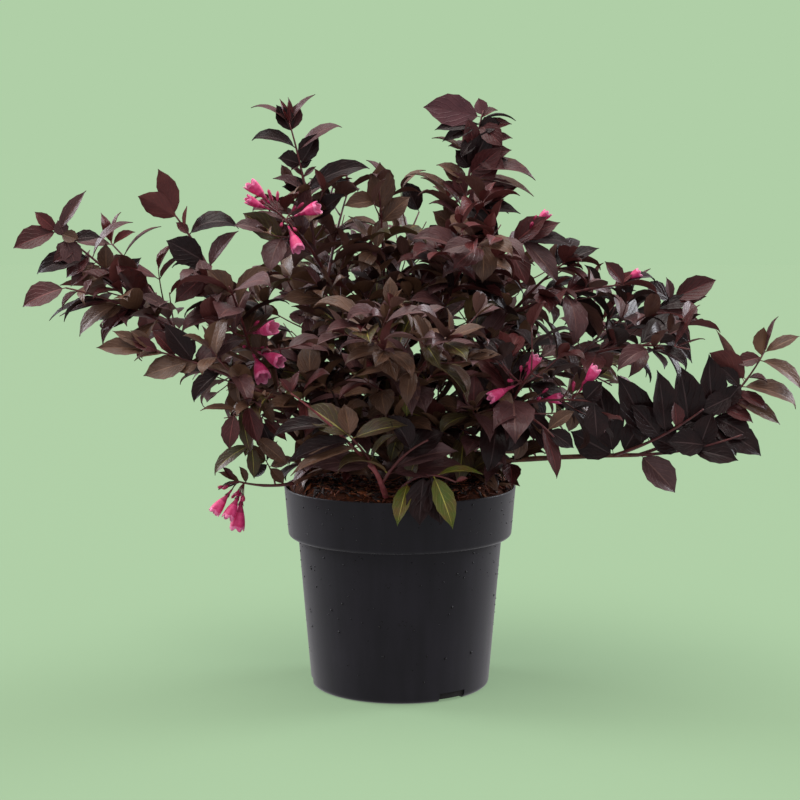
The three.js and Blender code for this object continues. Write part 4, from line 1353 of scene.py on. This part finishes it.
        (624, 285, 604, 262, 14, 5, 60, 15, "wine"),
        (600, 287, 585, 264, 10, 5, 60, 15, "dark"), (618, 286, 634, 272, 8, 0, 50, 10, "young"),
    ],
    "right_upper_1": [
        (560, 267, 600, 250, 12, 0, 45, 35, "dark"), (562, 266, 582, 256, 10, 5, 60, 15, "wine"),
    ],
    "front_rise_1": [
        (404, 382, 408, 417, 15, 15, 80, 15, "green"),
    ],
}


def choose(weights, draws):
    """One of the names, as often as its weight says."""
    mark = draws.next() * sum(weights.values())
    for name, weight in weights.items():
        mark -= weight
        if mark <= 0:
            return name
    return name


# How a leaf's width in the front view follows from its own: a folded blade looks narrower, one seen
# from the side still shows some of its face, and no leaf is wider than real ones are.
SHOWN_WIDTH = {"folded": 0.87, "edge_on": 0.6, "long": 1.3, "short": 1.9, "short_below": 30 * MM}

# Places where the front view looks between the leaves, on the sky: across, down and radius in pixels.
SKY = [
    (143, 252, 12), (163, 285, 8), (232, 268, 11), (244, 243, 7), (215, 250, 8), (337, 212, 8),
    (367, 207, 9), (412, 209, 10), (430, 224, 10), (508, 225, 8), (543, 275, 8), (562, 232, 7),
    (520, 303, 6), (297, 333, 6), (412, 352, 6), (447, 393, 6), (604, 392, 8), (215, 415, 9),
    (236, 433, 6), (262, 430, 8), (283, 447, 7), (677, 342, 7), (192, 392, 7), (527, 472, 8),
    (440, 167, 7), (395, 172, 6), (187, 297, 7), (285, 315, 7), (225, 385, 5), (462, 320, 5),
    (245, 262, 6), (262, 245, 6), (268, 165, 8), (248, 188, 5), (280, 190, 5),
]
SKY_ROOM = 7

taken = {}
# Leaves of the rule keep this clear of the pot's rim, of the open flowers and, in pixels, of the sky.
RIM_ROOM = {"radius": 178 * MM, "over": 6 * MM}
BLOOM_ROOM = {"pixels": 18, "reach": 43 * MM}
open_blooms = []
for shoot in shoots:
    for along, bearing, climb, scale in shoot["blooms"]:
        root = shoot["curve"].at(along)
        open_blooms.append((root, root + heading(bearing, climb) * BLOOM_ROOM["reach"] * scale))


def cell(point):
    return tuple((point // LEAF["clear"]).astype(int))


def is_clear(points):
    """True where no leaf that stands already is within the clearance."""
    for point in points:
        home = cell(point)
        for near in np.ndindex(3, 3, 3):
            beside = tuple(home[axis] + near[axis] - 1 for axis in range(3))
            for other in taken.get(beside, ()):
                if np.linalg.norm(other - point) < LEAF["clear"]:
                    return False
    return True


def occupy(points):
    for point in points:
        taken.setdefault(cell(point), []).append(point)


def within_reach(shoot, point):
    """True near the shoot, and clear of the pot, its fill and the rim."""
    out = math.hypot(point[0], point[1])
    rim = POT["height"] if out > POT["rim_radius"] else compost_height(point[0], point[1])
    if out < RIM_ROOM["radius"] and point[2] < rim + RIM_ROOM["over"]:
        return False
    marks = [shoot["curve"].at(i / 8) for i in range(9)]
    return min(np.linalg.norm(point - mark) for mark in marks) < REACH * shoot["bushy"]


def hides_sky(points):
    """True for a leaf that would close one of the gaps in the crown."""
    spots = [seen_at(point) for point in points]
    return any(
        math.hypot(spot[0] - across, spot[1] - down) < radius + SKY_ROOM
        for spot in spots for across, down, radius in SKY
    )


def hides_bloom(points):
    """True for a leaf in front of an open flower, where the front view would not show it."""
    for root, mouth in open_blooms:
        start, end = seen_at(root), seen_at(mouth)
        for point in points:
            if point[1] > root[1]:
                continue
            spot = seen_at(point)
            part = np.clip((spot - start) @ (end - start) / ((end - start) @ (end - start)), 0, 1)
            if np.linalg.norm(spot - start - part * (end - start)) < BLOOM_ROOM["pixels"]:
                return True
    return False


def posture(leaf, curve):
    """Turns a leaf's upper face between the sky and the shoot's tip."""
    direction = leaf["direction"]
    sky = np.array([0, 0, LEAF["skyward"]])
    toward = sky + curve.forward(leaf["along"]) * (1 - LEAF["skyward"])
    upper = unit(toward - direction * toward.dot(direction))
    side = np.cross(upper, direction)
    roll = math.radians(leaf["roll"])
    leaf["upper"] = upper * math.cos(roll) + side * math.sin(roll)
    leaf["side"] = np.cross(leaf["upper"], direction)


def arch(leaf):
    """Three places on a leaf's midrib, as it arches over."""
    lean = math.radians(leaf["bend"]) + 1e-6
    places = []
    for part in LEAF["marks"]:
        ahead, down = math.sin(lean * part) / lean, (1 - math.cos(lean * part)) / lean
        places.append(leaf["root"] + (leaf["direction"] * ahead - leaf["upper"] * down) * leaf["length"])
    return places


def place_leaf(shoot, limb, spot):
    """The largest leaf that stays clear at its place, turned a little round its limb if need be."""
    curve = limb["curve"]
    leaf = {**spot, "root": curve.at(spot["along"])}
    for smaller in GIVE_WAY["sizes"]:
        for turn in GIVE_WAY["turns"]:
            leaf["direction"] = out_of(curve, spot["along"], spot["angle"], spot["azimuth"] + turn)
            leaf["length"] = LEAF["length"] * spot["size"] * smaller
            posture(leaf, curve)
            middle = arch(leaf)
            shut = hides_bloom(middle) or hides_sky(middle)
            if within_reach(shoot, middle[-1]) and not shut and is_clear(middle):
                occupy(middle)
                return leaf
    return None


# The front view, 800 pixels across: where the eye is, and its three directions.
VIEW = 800
FOCAL = CAMERA["lens"] / CAMERA["sensor"] * VIEW
EYE = np.array([0, -CAMERA["distance"], CAMERA["height"]])
LEVEL = np.array([1, 0, 0])
AHEAD = heading(90, -CAMERA["pitch"])
RISE = np.cross(LEVEL, AHEAD)


def seen_at(point):
    """Where the front view shows a point, across and down."""
    offset = point - EYE
    scale = FOCAL / (offset @ AHEAD)
    return np.array([VIEW / 2 + offset @ LEVEL * scale, VIEW / 2 - offset @ RISE * scale])


def at_pixel(across, down, depth):
    """The point at a depth (Y) that the front view shows there."""
    ray = AHEAD * FOCAL + LEVEL * (across - VIEW / 2) + RISE * (VIEW / 2 - down)
    return EYE + ray * (depth - EYE[1]) / ray[1]


def shown_leaf(curve, row, draws):
    """A leaf of the outline, from its row. Its foot is the nearest point of the limb."""
    across, down, tip_across, tip_down, width, lean, face, bend, tint = row
    stations = np.linspace(0, 1, 101)
    off = [np.linalg.norm(seen_at(curve.at(along)) - (across, down)) for along in stations]
    along = stations[int(np.argmin(off))]
    root = curve.at(along)
    lean, face, half = (math.radians(angle) for angle in (lean, face, bend / 2))
    length = 0.0
    # The tip's depth and the leaf's length hang together, and settle in a few rounds.
    for _ in range(4):
        tip = at_pixel(tip_across, tip_down, root[1] - length * math.sin(lean))
        length = np.linalg.norm(tip - root)
    chord = (tip - root) / length
    skyward = unit(np.array([-chord[2], 0, chord[0]])) * (1 if chord[0] >= 0 else -1)
    forwards = np.cross(chord, skyward)
    forwards *= -1 if forwards[1] > 0 else 1
    upper = skyward * math.cos(face) + forwards * math.sin(face)
    leaf = {"root": root, "along": along, "bend": bend, "tint": tint}
    leaf["direction"] = chord * math.cos(half) + upper * math.sin(half)
    leaf["upper"] = upper * math.cos(half) - chord * math.sin(half)
    leaf["side"] = np.cross(leaf["upper"], leaf["direction"])
    leaf["length"] = length * (half / math.sin(half) if half else 1)
    turned_out = SHOWN_WIDTH["folded"] * max(SHOWN_WIDTH["edge_on"], abs(math.sin(face)))
    breadth = width * (root - EYE) @ AHEAD / FOCAL / turned_out
    widest = SHOWN_WIDTH["long" if length > SHOWN_WIDTH["short_below"] else "short"]
    leaf["slim"] = min(breadth / length / LEAF["width"], widest)
    for name, limits in SHOWN_HELD.items():
        leaf[name] = draws.between(*limits)
    occupy(arch(leaf))
    return leaf


def dress(shoot, limb, scale, stop=2.0):
    """Crossed pairs of leaves up a limb, then a folded upright pair and the tiny pairs of its bud. No
    leaf stands past the place where the rule stops."""
    draws, leaves = limb["draws"], []
    older, younger = PALETTES[shoot["palette"]]
    for node in range(limb["nodes"] + len(TIP_PAIRS)):
        past = node - limb["nodes"]
        held = GROWN if past < 0 else FOLDED
        along = along_at(node, limb["nodes"]) if past < 0 else TIP_PAIRS[past][0]
        if along > stop:
            continue
        for half in (0, 180):
            azimuth = limb["azimuth"] + 90 * node + half + draws.vary(VARY["azimuth"])
            spot = {"along": along, "azimuth": azimuth}
            if past < 0:
                young = along > YOUNG["from"] and draws.next() < YOUNG["chance"]
                spot["angle"] = LEAF["spread"] - LEAF["closing"] * along + draws.vary(VARY["angle"])
                spot["size"] = scale * (1 - LEAF["shrink"] * along + draws.vary(VARY["size"]))
            else:
                young = past > 0 or draws.next() < YOUNG["folded"]
                spot["angle"] = TIP_PAIRS[past][1] + draws.vary(VARY["tip_angle"])
                spot["size"] = scale * TIP_PAIRS[past][2] * (1 + draws.vary(VARY["tip_size"]))
            for name, limits in {**held, **HELD}.items():
                spot[name] = draws.between(*limits)
            spot["tint"] = choose(younger if young else older, draws)
            leaf = place_leaf(shoot, limb, spot)
            if leaf:
                leaves.append(leaf)
    return leaves


def column(leaves, name):
    return np.array([leaf[name] for leaf in leaves], float)


def blades(leaves):
    """The corners of all the leaves of a piece, as [leaf, corner, xyz]."""
    rows = np.array(ROWS)
    lamina = np.clip((rows - LEAF["petiole"]) / (1 - LEAF["petiole"]), 0, 1)
    inner = np.clip(lamina / LEAF["widest"], 0, 1)
    outer = np.clip((lamina - LEAF["widest"]) / (1 - LEAF["widest"]), 0, 1)
    # The half width swells quickly to the widest place, and then runs out to a drawn-out tip.
    swell = np.sin(math.pi / 2 * inner**0.85) ** 0.8 * (1 - outer**1.8) * (1 - 0.85 * outer**3)
    ripple = np.where((lamina > 0.05) & (lamina < 0.97), np.where(np.arange(len(rows)) % 2, 1.0, -1.0), 0)
    length = column(leaves, "length")[:, None]
    half = length * LEAF["width"] / 2 * column(leaves, "slim")[:, None]
    half = np.maximum(half * swell * (1 + LEAF["scallop"] * ripple), LEAF["stalk_radius"])
    half[:, -1] = LEAF["tip_radius"]
    lean = np.radians(column(leaves, "bend"))[:, None] * rows**1.15
    hook = np.clip((rows - LEAF["hook_from"]) / (1 - LEAF["hook_from"]), 0, 1)
    lean = lean + np.radians(column(leaves, "hook"))[:, None] * hook**1.3
    steps = np.diff(rows, prepend=0.0)
    middle = lean - np.diff(lean, axis=1, prepend=0.0) / 2
    ahead = np.cumsum(np.cos(middle) * steps, axis=1) * length
    down = np.cumsum(np.sin(middle) * steps, axis=1) * length
    d, u, s = (column(leaves, name)[:, None, :] for name in ("direction", "upper", "side"))
    spine = column(leaves, "root")[:, None, :] + d * ahead[..., None] - u * down[..., None]
    spine = spine + s * (column(leaves, "sway")[:, None] * rows**2 * length)[..., None]
    normal = u * np.cos(lean)[..., None] + d * np.sin(lean)[..., None]
    forward = d * np.cos(lean)[..., None] - u * np.sin(lean)[..., None]
    turn = np.radians(column(leaves, "twist"))[:, None] * rows
    side = s * np.cos(turn)[..., None] + normal * np.sin(turn)[..., None]
    normal = normal * np.cos(turn)[..., None] - s * np.sin(turn)[..., None]
    fold = np.radians(column(leaves, "fold"))[:, None]
    cup = column(leaves, "cup")[:, None]

    def place(v, drop):
        reach = abs(v)
        slant = LEAF["slant"] * reach * 4 * lamina * (1 - lamina) * length
        lift = half * (reach * np.sin(fold) - cup * reach**2)
        quilt = LEAF["quilt"] * length * ripple * 4 * reach * (1 - reach)
        quilt = quilt + LEAF["raised"] * (reach > 0.2)
        across = half * v * np.cos(fold)
        spot = spine + side * across[..., None] + forward * slant[..., None]
        return spot + normal * (lift + quilt * (drop == 0) - drop)[..., None]

    keel = LEAF["thick"] + LEAF["keel"] * (1 - rows)
    grid = [place(v, 0) for v in UPPER] + [place(v, keel) for v in UNDER]
    return np.stack(grid, axis=2).reshape(len(leaves), -1, 3)


# The faces of one leaf, and the part of it that each belongs to. A row has its upper columns and then
# the two inner ones of its underside. The first row is the stalk, which has the midrib's skin.
FACE, BACK, RIB = 0, 1, 2
PER_ROW = len(UPPER) + len(UNDER)
leaf_faces, leaf_parts = [], []
for row in range(len(ROWS) - 1):
    a, b = row * PER_ROW, (row + 1) * PER_ROW
    for k in range(len(UPPER) - 1):
        leaf_faces.append((a + k, a + k + 1, b + k + 1, b + k))
        leaf_parts.append(RIB if k == 2 else FACE)
    for left, right in ((5, 7), (7, 6), (6, 0)):
        leaf_faces.append((a + left, a + right, b + right, b + left))
        leaf_parts.append(BACK)
leaf_parts[:PER_ROW] = [RIB] * PER_ROW
leaf_faces.append((6, 7, 5, 4, 3, 2, 1, 0))
last = (len(ROWS) - 1) * PER_ROW
leaf_faces.append(tuple(last + k for k in (0, 1, 2, 3, 4, 5, 7, 6)))
leaf_parts += [BACK, BACK]
face_sizes = np.array([len(face) for face in leaf_faces])
leaf_faces = np.array([corner for face in leaf_faces for corner in face])


# The pattern on a leaf's skin: its patches of tint, its net of fine veins, and its side veins, with
# their number along the leaf, how far forwards they run, how far they wander, their share of the
# space between them and how deep they lie beside the net.
SKIN_PATTERN = {"patch": 16.667 * MM, "tints": (0.36, 0.64), "net": 3.125 * MM}
VEINS = {"count": 6.0, "slant": 0.42, "wander": 0.8, "from": 0.55, "depth": 0.45}


def leaf_skin(name, hexes, vein, contrast, roughness, relief, shine):
    """A leaf's waxy skin. Its map gives the place along the leaf (U) and across each half (V from -1
    to 1), where the side veins run out and forwards from the midrib. Sizes in metres."""
    material, tree, shader, place = new_material(name)
    shader.inputs["Specular IOR Level"].default_value = shine
    patchy = {"Vector": place, "Scale": 1 / SKIN_PATTERN["patch"], "Detail": 4.0}
    drift = add_node(tree, "ShaderNodeTexNoise", patchy)
    colour = add_node(tree, "ShaderNodeValToRGB", {"Fac": drift.outputs["Fac"]})
    for element, tint, position in zip(colour.color_ramp.elements, hexes, SKIN_PATTERN["tints"]):
        element.position = position
        element.color = linear(tint)
    chart = add_node(tree, "ShaderNodeUVMap", uv_map="leaf_map")
    parts = add_node(tree, "ShaderNodeSeparateXYZ", {0: chart.outputs[0]})
    half = add_node(tree, "ShaderNodeMath", {0: parts.outputs["Y"]}, operation="ABSOLUTE")
    slant = -VEINS["slant"] * VEINS["count"]
    forward = add_node(tree, "ShaderNodeMath", {0: half.outputs[0], 1: slant}, operation="MULTIPLY")
    rows = add_node(
        tree,
        "ShaderNodeMath",
        {0: parts.outputs["X"], 1: VEINS["count"], 2: forward.outputs[0]},
        operation="MULTIPLY_ADD",
    )
    uneven = add_node(
        tree,
        "ShaderNodeMath",
        {0: drift.outputs["Fac"], 1: VEINS["wander"], 2: rows.outputs[0]},
        operation="MULTIPLY_ADD",
    )
    turn = add_node(tree, "ShaderNodeMath", {0: uneven.outputs[0], 1: math.tau}, operation="MULTIPLY")
    wave = add_node(tree, "ShaderNodeMath", {0: turn.outputs[0]}, operation="SINE")
    line = add_node(
        tree,
        "ShaderNodeMapRange",
        {"Value": wave.outputs[0], "From Min": VEINS["from"], "From Max": 1.0},
        interpolation_type="SMOOTHSTEP",
    )
    # The side veins are mixed towards the midrib's lighter colour: partly their own colour and partly a
    # painted sheen along them.
    shown = add_node(tree, "ShaderNodeMath", {0: line.outputs[0], 1: contrast}, operation="MULTIPLY")
    veined = add_node(
        tree,
        "ShaderNodeMix",
        {"Factor": shown.outputs[0], 6: colour.outputs[0], 7: linear(vein)},
        data_type="RGBA",
    )
    fine = {"Vector": place, "Scale": 1 / SKIN_PATTERN["net"], "Detail": 3.0}
    net = add_node(tree, "ShaderNodeTexNoise", fine)
    height = add_node(
        tree,
        "ShaderNodeMath",
        {0: line.outputs[0], 1: -VEINS["depth"], 2: net.outputs["Fac"]},
        operation="MULTIPLY_ADD",
    )
    bump = add_node(
        tree,
        "ShaderNodeBump",
        {"Height": height.outputs[0], "Strength": 1.0, "Distance": relief},
    )
    smooth, dull = roughness - GLOSS_DRIFT, roughness + GLOSS_DRIFT
    gloss = add_node(
        tree,
        "ShaderNodeMapRange",
        {"Value": net.outputs["Fac"], "To Min": smooth, "To Max": dull},
    )
    tree.links.new(veined.outputs[2], shader.inputs["Base Color"])
    tree.links.new(gloss.outputs[0], shader.inputs["Roughness"])
    tree.links.new(bump.outputs[0], shader.inputs["Normal"])
    return material


# How a leaf's upper face and its underside take the light, and how strongly their side veins show.
# The dark leaves are smoother and shine less, and the green ones hide their veins too.
SKIN = {"roughness": (0.4, 0.6), "relief": (0.5 * MM, 0.3 * MM), "veins": 0.22, "shine": 0.32}
GREEN_SKIN = {**SKIN, "veins": 0.12}
DARK_SKIN = {**SKIN, "veins": 0.12, "roughness": (0.32, 0.6), "shine": 0.2}
SKINS = {"olive": GREEN_SKIN, "green": GREEN_SKIN, "dark": DARK_SKIN}
RIB_SKIN = {
    "patch": 14 * MM, "grain": 1.3 * MM, "roughness": 0.5, "relief": 0.2, "relief_size": 0.2 * MM,
}
leaf_finishes = {}


def leaf_finish(tint, part):
    """The skin of a leaf of one tint: its upper face, its duller underside, or its midrib."""
    if (tint, part) not in leaf_finishes:
        hexes, ribs = TINTS[tint][part], TINTS[tint][RIB]
        name = f"leaf_{tint}_{('upper', 'under', 'rib')[part]}"
        if part == RIB:
            made = mottled(name, hexes, **RIB_SKIN)
        else:
            skin = SKINS.get(tint, SKIN)
            roughness, relief = skin["roughness"][part], skin["relief"][part]
            made = leaf_skin(name, hexes, ribs[0], skin["veins"], roughness, relief, skin["shine"])
        leaf_finishes[tint, part] = made
    return leaf_finishes[tint, part]


def leaf_piece(name, leaves):
    """All the leaves of a bough as one mesh, each with its own tint."""
    corners = blades(leaves)
    count, size = corners.shape[:2]
    mesh = bpy.data.meshes.new(name)
    mesh.vertices.add(count * size)
    mesh.vertices.foreach_set("co", corners.ravel())
    loops = (np.arange(count)[:, None] * size + leaf_faces[None]).ravel()
    mesh.loops.add(len(loops))
    mesh.loops.foreach_set("vertex_index", loops)
    sizes = np.tile(face_sizes, count)
    mesh.polygons.add(len(sizes))
    mesh.polygons.foreach_set("loop_start", np.cumsum(sizes) - sizes)
    mesh.polygons.foreach_set("loop_total", sizes)
    tints = sorted({leaf["tint"] for leaf in leaves})
    for tint in tints:
        for part in (FACE, BACK, RIB):
            mesh.materials.append(leaf_finish(tint, part))
    own = np.array([tints.index(leaf["tint"]) for leaf in leaves])
    mesh.polygons.foreach_set("material_index", (own[:, None] * 3 + np.array(leaf_parts)[None]).ravel())
    mesh.polygons.foreach_set("use_smooth", [True] * len(sizes))
    mesh.update(calc_edges=True)
    chart = np.array([(row, across) for row in ROWS for across in UPPER + UNDER])
    leaf_map = mesh.uv_layers.new(name="leaf_map")
    leaf_map.data.foreach_set("uv", np.tile(chart[leaf_faces], (count, 1)).ravel())
    piece = bpy.data.objects.new(name, mesh)
    bpy.context.scene.collection.objects.link(piece)
    smoothed(piece, 75)
    return piece


leaves_of = {}
show_draws = Draws(SHOWN_SEED)
for shoot in shoots:
    rows = SHOWN.get(shoot["name"].removeprefix("foliage_"), [])
    shoot["shown"] = [shown_leaf(shoot["curve"], row, show_draws) for row in rows]
    for spur in shoot.get("spurs", []):
        shoot["shown"] += [shown_leaf(spur["curve"], row, show_draws) for row in SHOWN[spur["name"]]]
for shoot in shoots:
    own = shoot["shown"] + dress(shoot, shoot, shoot["vigour"], settled(shoot)[1])
    for twig in shoot["twigs"]:
        own += dress(shoot, twig, shoot["vigour"] * TWIG["leaf_scale"])
    for twig in shoot.get("inner", {"twigs": []})["twigs"]:
        own += dress(shoot["inner"], twig, INNER_TWIG["leaf_scale"])
    bough_name = shoot["name"].removeprefix("foliage_").rstrip("_123")
    leaves_of.setdefault(bough_name, []).extend(own)
for name, own in leaves_of.items():
    piece = leaf_piece(f"leaves_{name}", own)
    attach(piece, "root")
    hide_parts(*[s["name"] for s in shoots if s["name"].startswith(f"foliage_{name}")])

# ----------------------------------------------------------------------------------------- flowers
# Funnel flowers of five fused petals, crimson in bud and pink when open, each on a thin red stalk in
# a calyx of five narrow sepals. They stand in loose clusters in the axils of the upper leaves.

FLOWER = {
    "length": 31 * MM, "petals": 5, "facets": 30, "wall": 0.45, "lobed": 0.08, "tongued": 0.07,
    "open": (0.8, 1.15), "bend": (-0.12, 0.12), "stalk": 12,
}
STALK = {"foot": 0.8 * MM, "tip": 0.7 * MM, "facets": 5, "step": 3 * MM}
BUD_STALK = {"foot": 0.6 * MM, "tip": 0.5 * MM, "facets": 5, "step": 3 * MM}
CALYX = {
    "ovary": 8 * MM, "ovary_radius": 0.9 * MM, "sepals": 5, "sepals_at": 6 * MM, "sepal": 8 * MM,
    "sepal_radius": 0.7 * MM, "spread": 0.42,
}
# The two buds beside each open flower: how far they turn and rise from it, and their sizes.
BUDS = {
    "count": 2, "turn": 70, "rise": (0, 50), "stalk": (9, 18), "length": (7, 14), "radius": 2.0 * MM,
    "widest": 0.62, "calyx": 0.7,
}
# The funnel's section: how far along it, as a part of its length, and its radius in millimetres.
FUNNEL = [
    (0.0, 1.1), (0.18, 1.5), (0.34, 2.5), (0.48, 4.2), (0.62, 5.6), (0.76, 6.6), (0.88, 7.0), (0.95, 6.9),
    (1.0, 6.6),
]


def frame_of(direction):
    """Two directions square to one and to each other."""
    side = unit(np.cross(direction, (0.13, 0.2, 1.0)))
    return side, np.cross(side, direction)


def funnel(root, direction, scale, draws):
    """An open flower: the outside from the stalk to the petals' edge, and back down the inside."""
    side, over = frame_of(direction)
    facets, length = FLOWER["facets"], FLOWER["length"] * scale
    open_by, bend = draws.between(*FLOWER["open"]), draws.between(*FLOWER["bend"])
    phase = draws.between(0, 1)
    rows = [(s, r * MM) for s, r in FUNNEL]
    rows += [(s - 0.01, (r - FLOWER["wall"]) * MM) for s, r in FUNNEL[:1:-1]]
    corners, faces, slots = [], [], []
    for s, radius in rows:
        flare = 1 + (open_by - 1) * s
        for k in range(facets):
            turn = math.tau * (k / facets + phase)
            lobe = math.cos(FLOWER["petals"] * turn)
            wide = radius * scale * flare * (1 + FLOWER["lobed"] * s * s * lobe)
            tongue = 2 * abs(math.cos(FLOWER["petals"] / 2 * turn)) ** 0.6 - 1
            petal = FLOWER["tongued"] * s**6 * tongue
            far = length * (s + petal - 0.02 * (s > 0.97))
            flat = side * math.cos(turn) + over * math.sin(turn)
            corners.append(root + direction * far + flat * wide + over * bend * length * s * s)
    for i in range(len(rows) - 1):
        a, b = i * facets, (i + 1) * facets
        faces += [(a + k, a + (k + 1) % facets, b + (k + 1) % facets, b + k) for k in range(facets)]
        inside = i >= len(FUNNEL) - 1
        slots += [3 if inside else (0 if i < 3 else 1 if i < 6 else 2)] * facets
    faces.append(tuple(range(facets))[::-1])
    faces.append(tuple((len(rows) - 1) * facets + k for k in range(facets)))
    return corners, faces, slots + [0, 3]


def spindle(root, direction, length, radius, slot, widest=0.5, sides=7, steps=6):
    """A small pointed body, such as a bud, an ovary or a sepal."""
    side, over = frame_of(direction)
    corners = [root]
    for i in range(1, steps):
        s = i / steps
        k1, k2 = 1.4 * widest, 1.4 * (1 - widest)
        wide = radius * (s / widest) ** k1 * ((1 - s) / (1 - widest)) ** k2
        for k in range(sides):
            turn = math.tau * k / sides
            flat = side * math.cos(turn) + over * math.sin(turn)
            corners.append(root + direction * length * s + flat * wide)
    corners.append(root + direction * length)
    faces = [(0, 1 + (k + 1) % sides, 1 + k) for k in range(sides)]
    for i in range(steps - 2):
        a, b = 1 + i * sides, 1 + (i + 1) * sides
        faces += [(a + k, a + (k + 1) % sides, b + (k + 1) % sides, b + k) for k in range(sides)]
    end = len(corners) - 1
    a = end - sides
    faces += [(a + k, a + (k + 1) % sides, end) for k in range(sides)]
    return corners, faces, slot


def calyx(root, direction, scale):
    """The ovary under a flower and its five narrow sepals, spread a little."""
    side, over = frame_of(direction)
    parts = [spindle(root, direction, CALYX["ovary"] * scale, CALYX["ovary_radius"] * scale, 0)]
    top = root + direction * CALYX["sepals_at"] * scale
    long, thin = CALYX["sepal"] * scale, CALYX["sepal_radius"] * scale
    for k in range(CALYX["sepals"]):
        turn = math.tau * k / CALYX["sepals"]
        out = unit(direction + CALYX["spread"] * (side * math.cos(turn) + over * math.sin(turn)))
        parts.append(spindle(top, out, long, thin, 0, 0.35, 4, 4))
    return parts


# Petals have a velvety, even skin, deep pink at the foot and pale at the edge and inside. The pale
# edge and inside are partly their own colour and partly a painted highlight on the open lobes.
PETAL = {"grain": 0.8 * MM, "relief": 0.2, "relief_size": 0.2 * MM}
petal_finishes = [
    mottled("petal_foot", ["#A01450", "#B8205E"], patch=5 * MM, roughness=0.5, **PETAL),
    mottled("petal_tube", ["#C81C62", "#E04682"], patch=5 * MM, roughness=0.5, **PETAL),
    mottled("petal_edge", ["#DC4484", "#F08CB4"], patch=4 * MM, roughness=0.5, **PETAL),
    mottled("petal_inside", ["#DE6298", "#F3A8C6"], patch=4 * MM, roughness=0.55, **PETAL),
]
# The calyx is dark and a little rough, the buds smoother.
CALYX_SKIN = {"patch": 4 * MM, "grain": 0.6 * MM, "relief_size": 0.2 * MM}
calyx_finishes = [
    mottled("red_calyx", ["#4A1A1E", "#6A262A"], **CALYX_SKIN, roughness=0.55, relief=0.3),
    mottled("crimson_bud", ["#8E1640", "#B4225A"], **CALYX_SKIN, roughness=0.45, relief=0.2),
]
funnels, calyx_parts = [], []
for shoot in shoots:
    for along, bearing, climb, scale in shoot["blooms"]:
        draws = shoot["draws"]
        root = shoot["curve"].at(along)
        stalk = CentreLine(bearing, climb, FLOWER["stalk"] * scale, 0.05, root)
        direction = heading(bearing, climb)
        calyx_parts.append(tube(stalk, STALK))
        calyx_parts += calyx(stalk.at(1) - direction * 4 * MM, direction, scale)
        funnels.append(funnel(stalk.at(1), direction, scale, draws))
        for _ in range(BUDS["count"]):
            lean, rise = bearing + draws.vary(BUDS["turn"]), climb + draws.between(*BUDS["rise"])
            thin = CentreLine(lean, rise, draws.between(*BUDS["stalk"]), 0.08, root)
            ahead = heading(lean, rise)
            calyx_parts.append(tube(thin, BUD_STALK))
            calyx_parts += calyx(thin.at(1) - ahead * 2 * MM, ahead, BUDS["calyx"])
            length = draws.between(*BUDS["length"]) * MM
            calyx_parts.append(spindle(thin.at(1), ahead, length, BUDS["radius"], 1, BUDS["widest"]))
blossom = joined("blossom", funnels, petal_finishes)
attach(blossom, "root")
calyces = joined("calyces_and_buds", calyx_parts, calyx_finishes)
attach(calyces, "root")
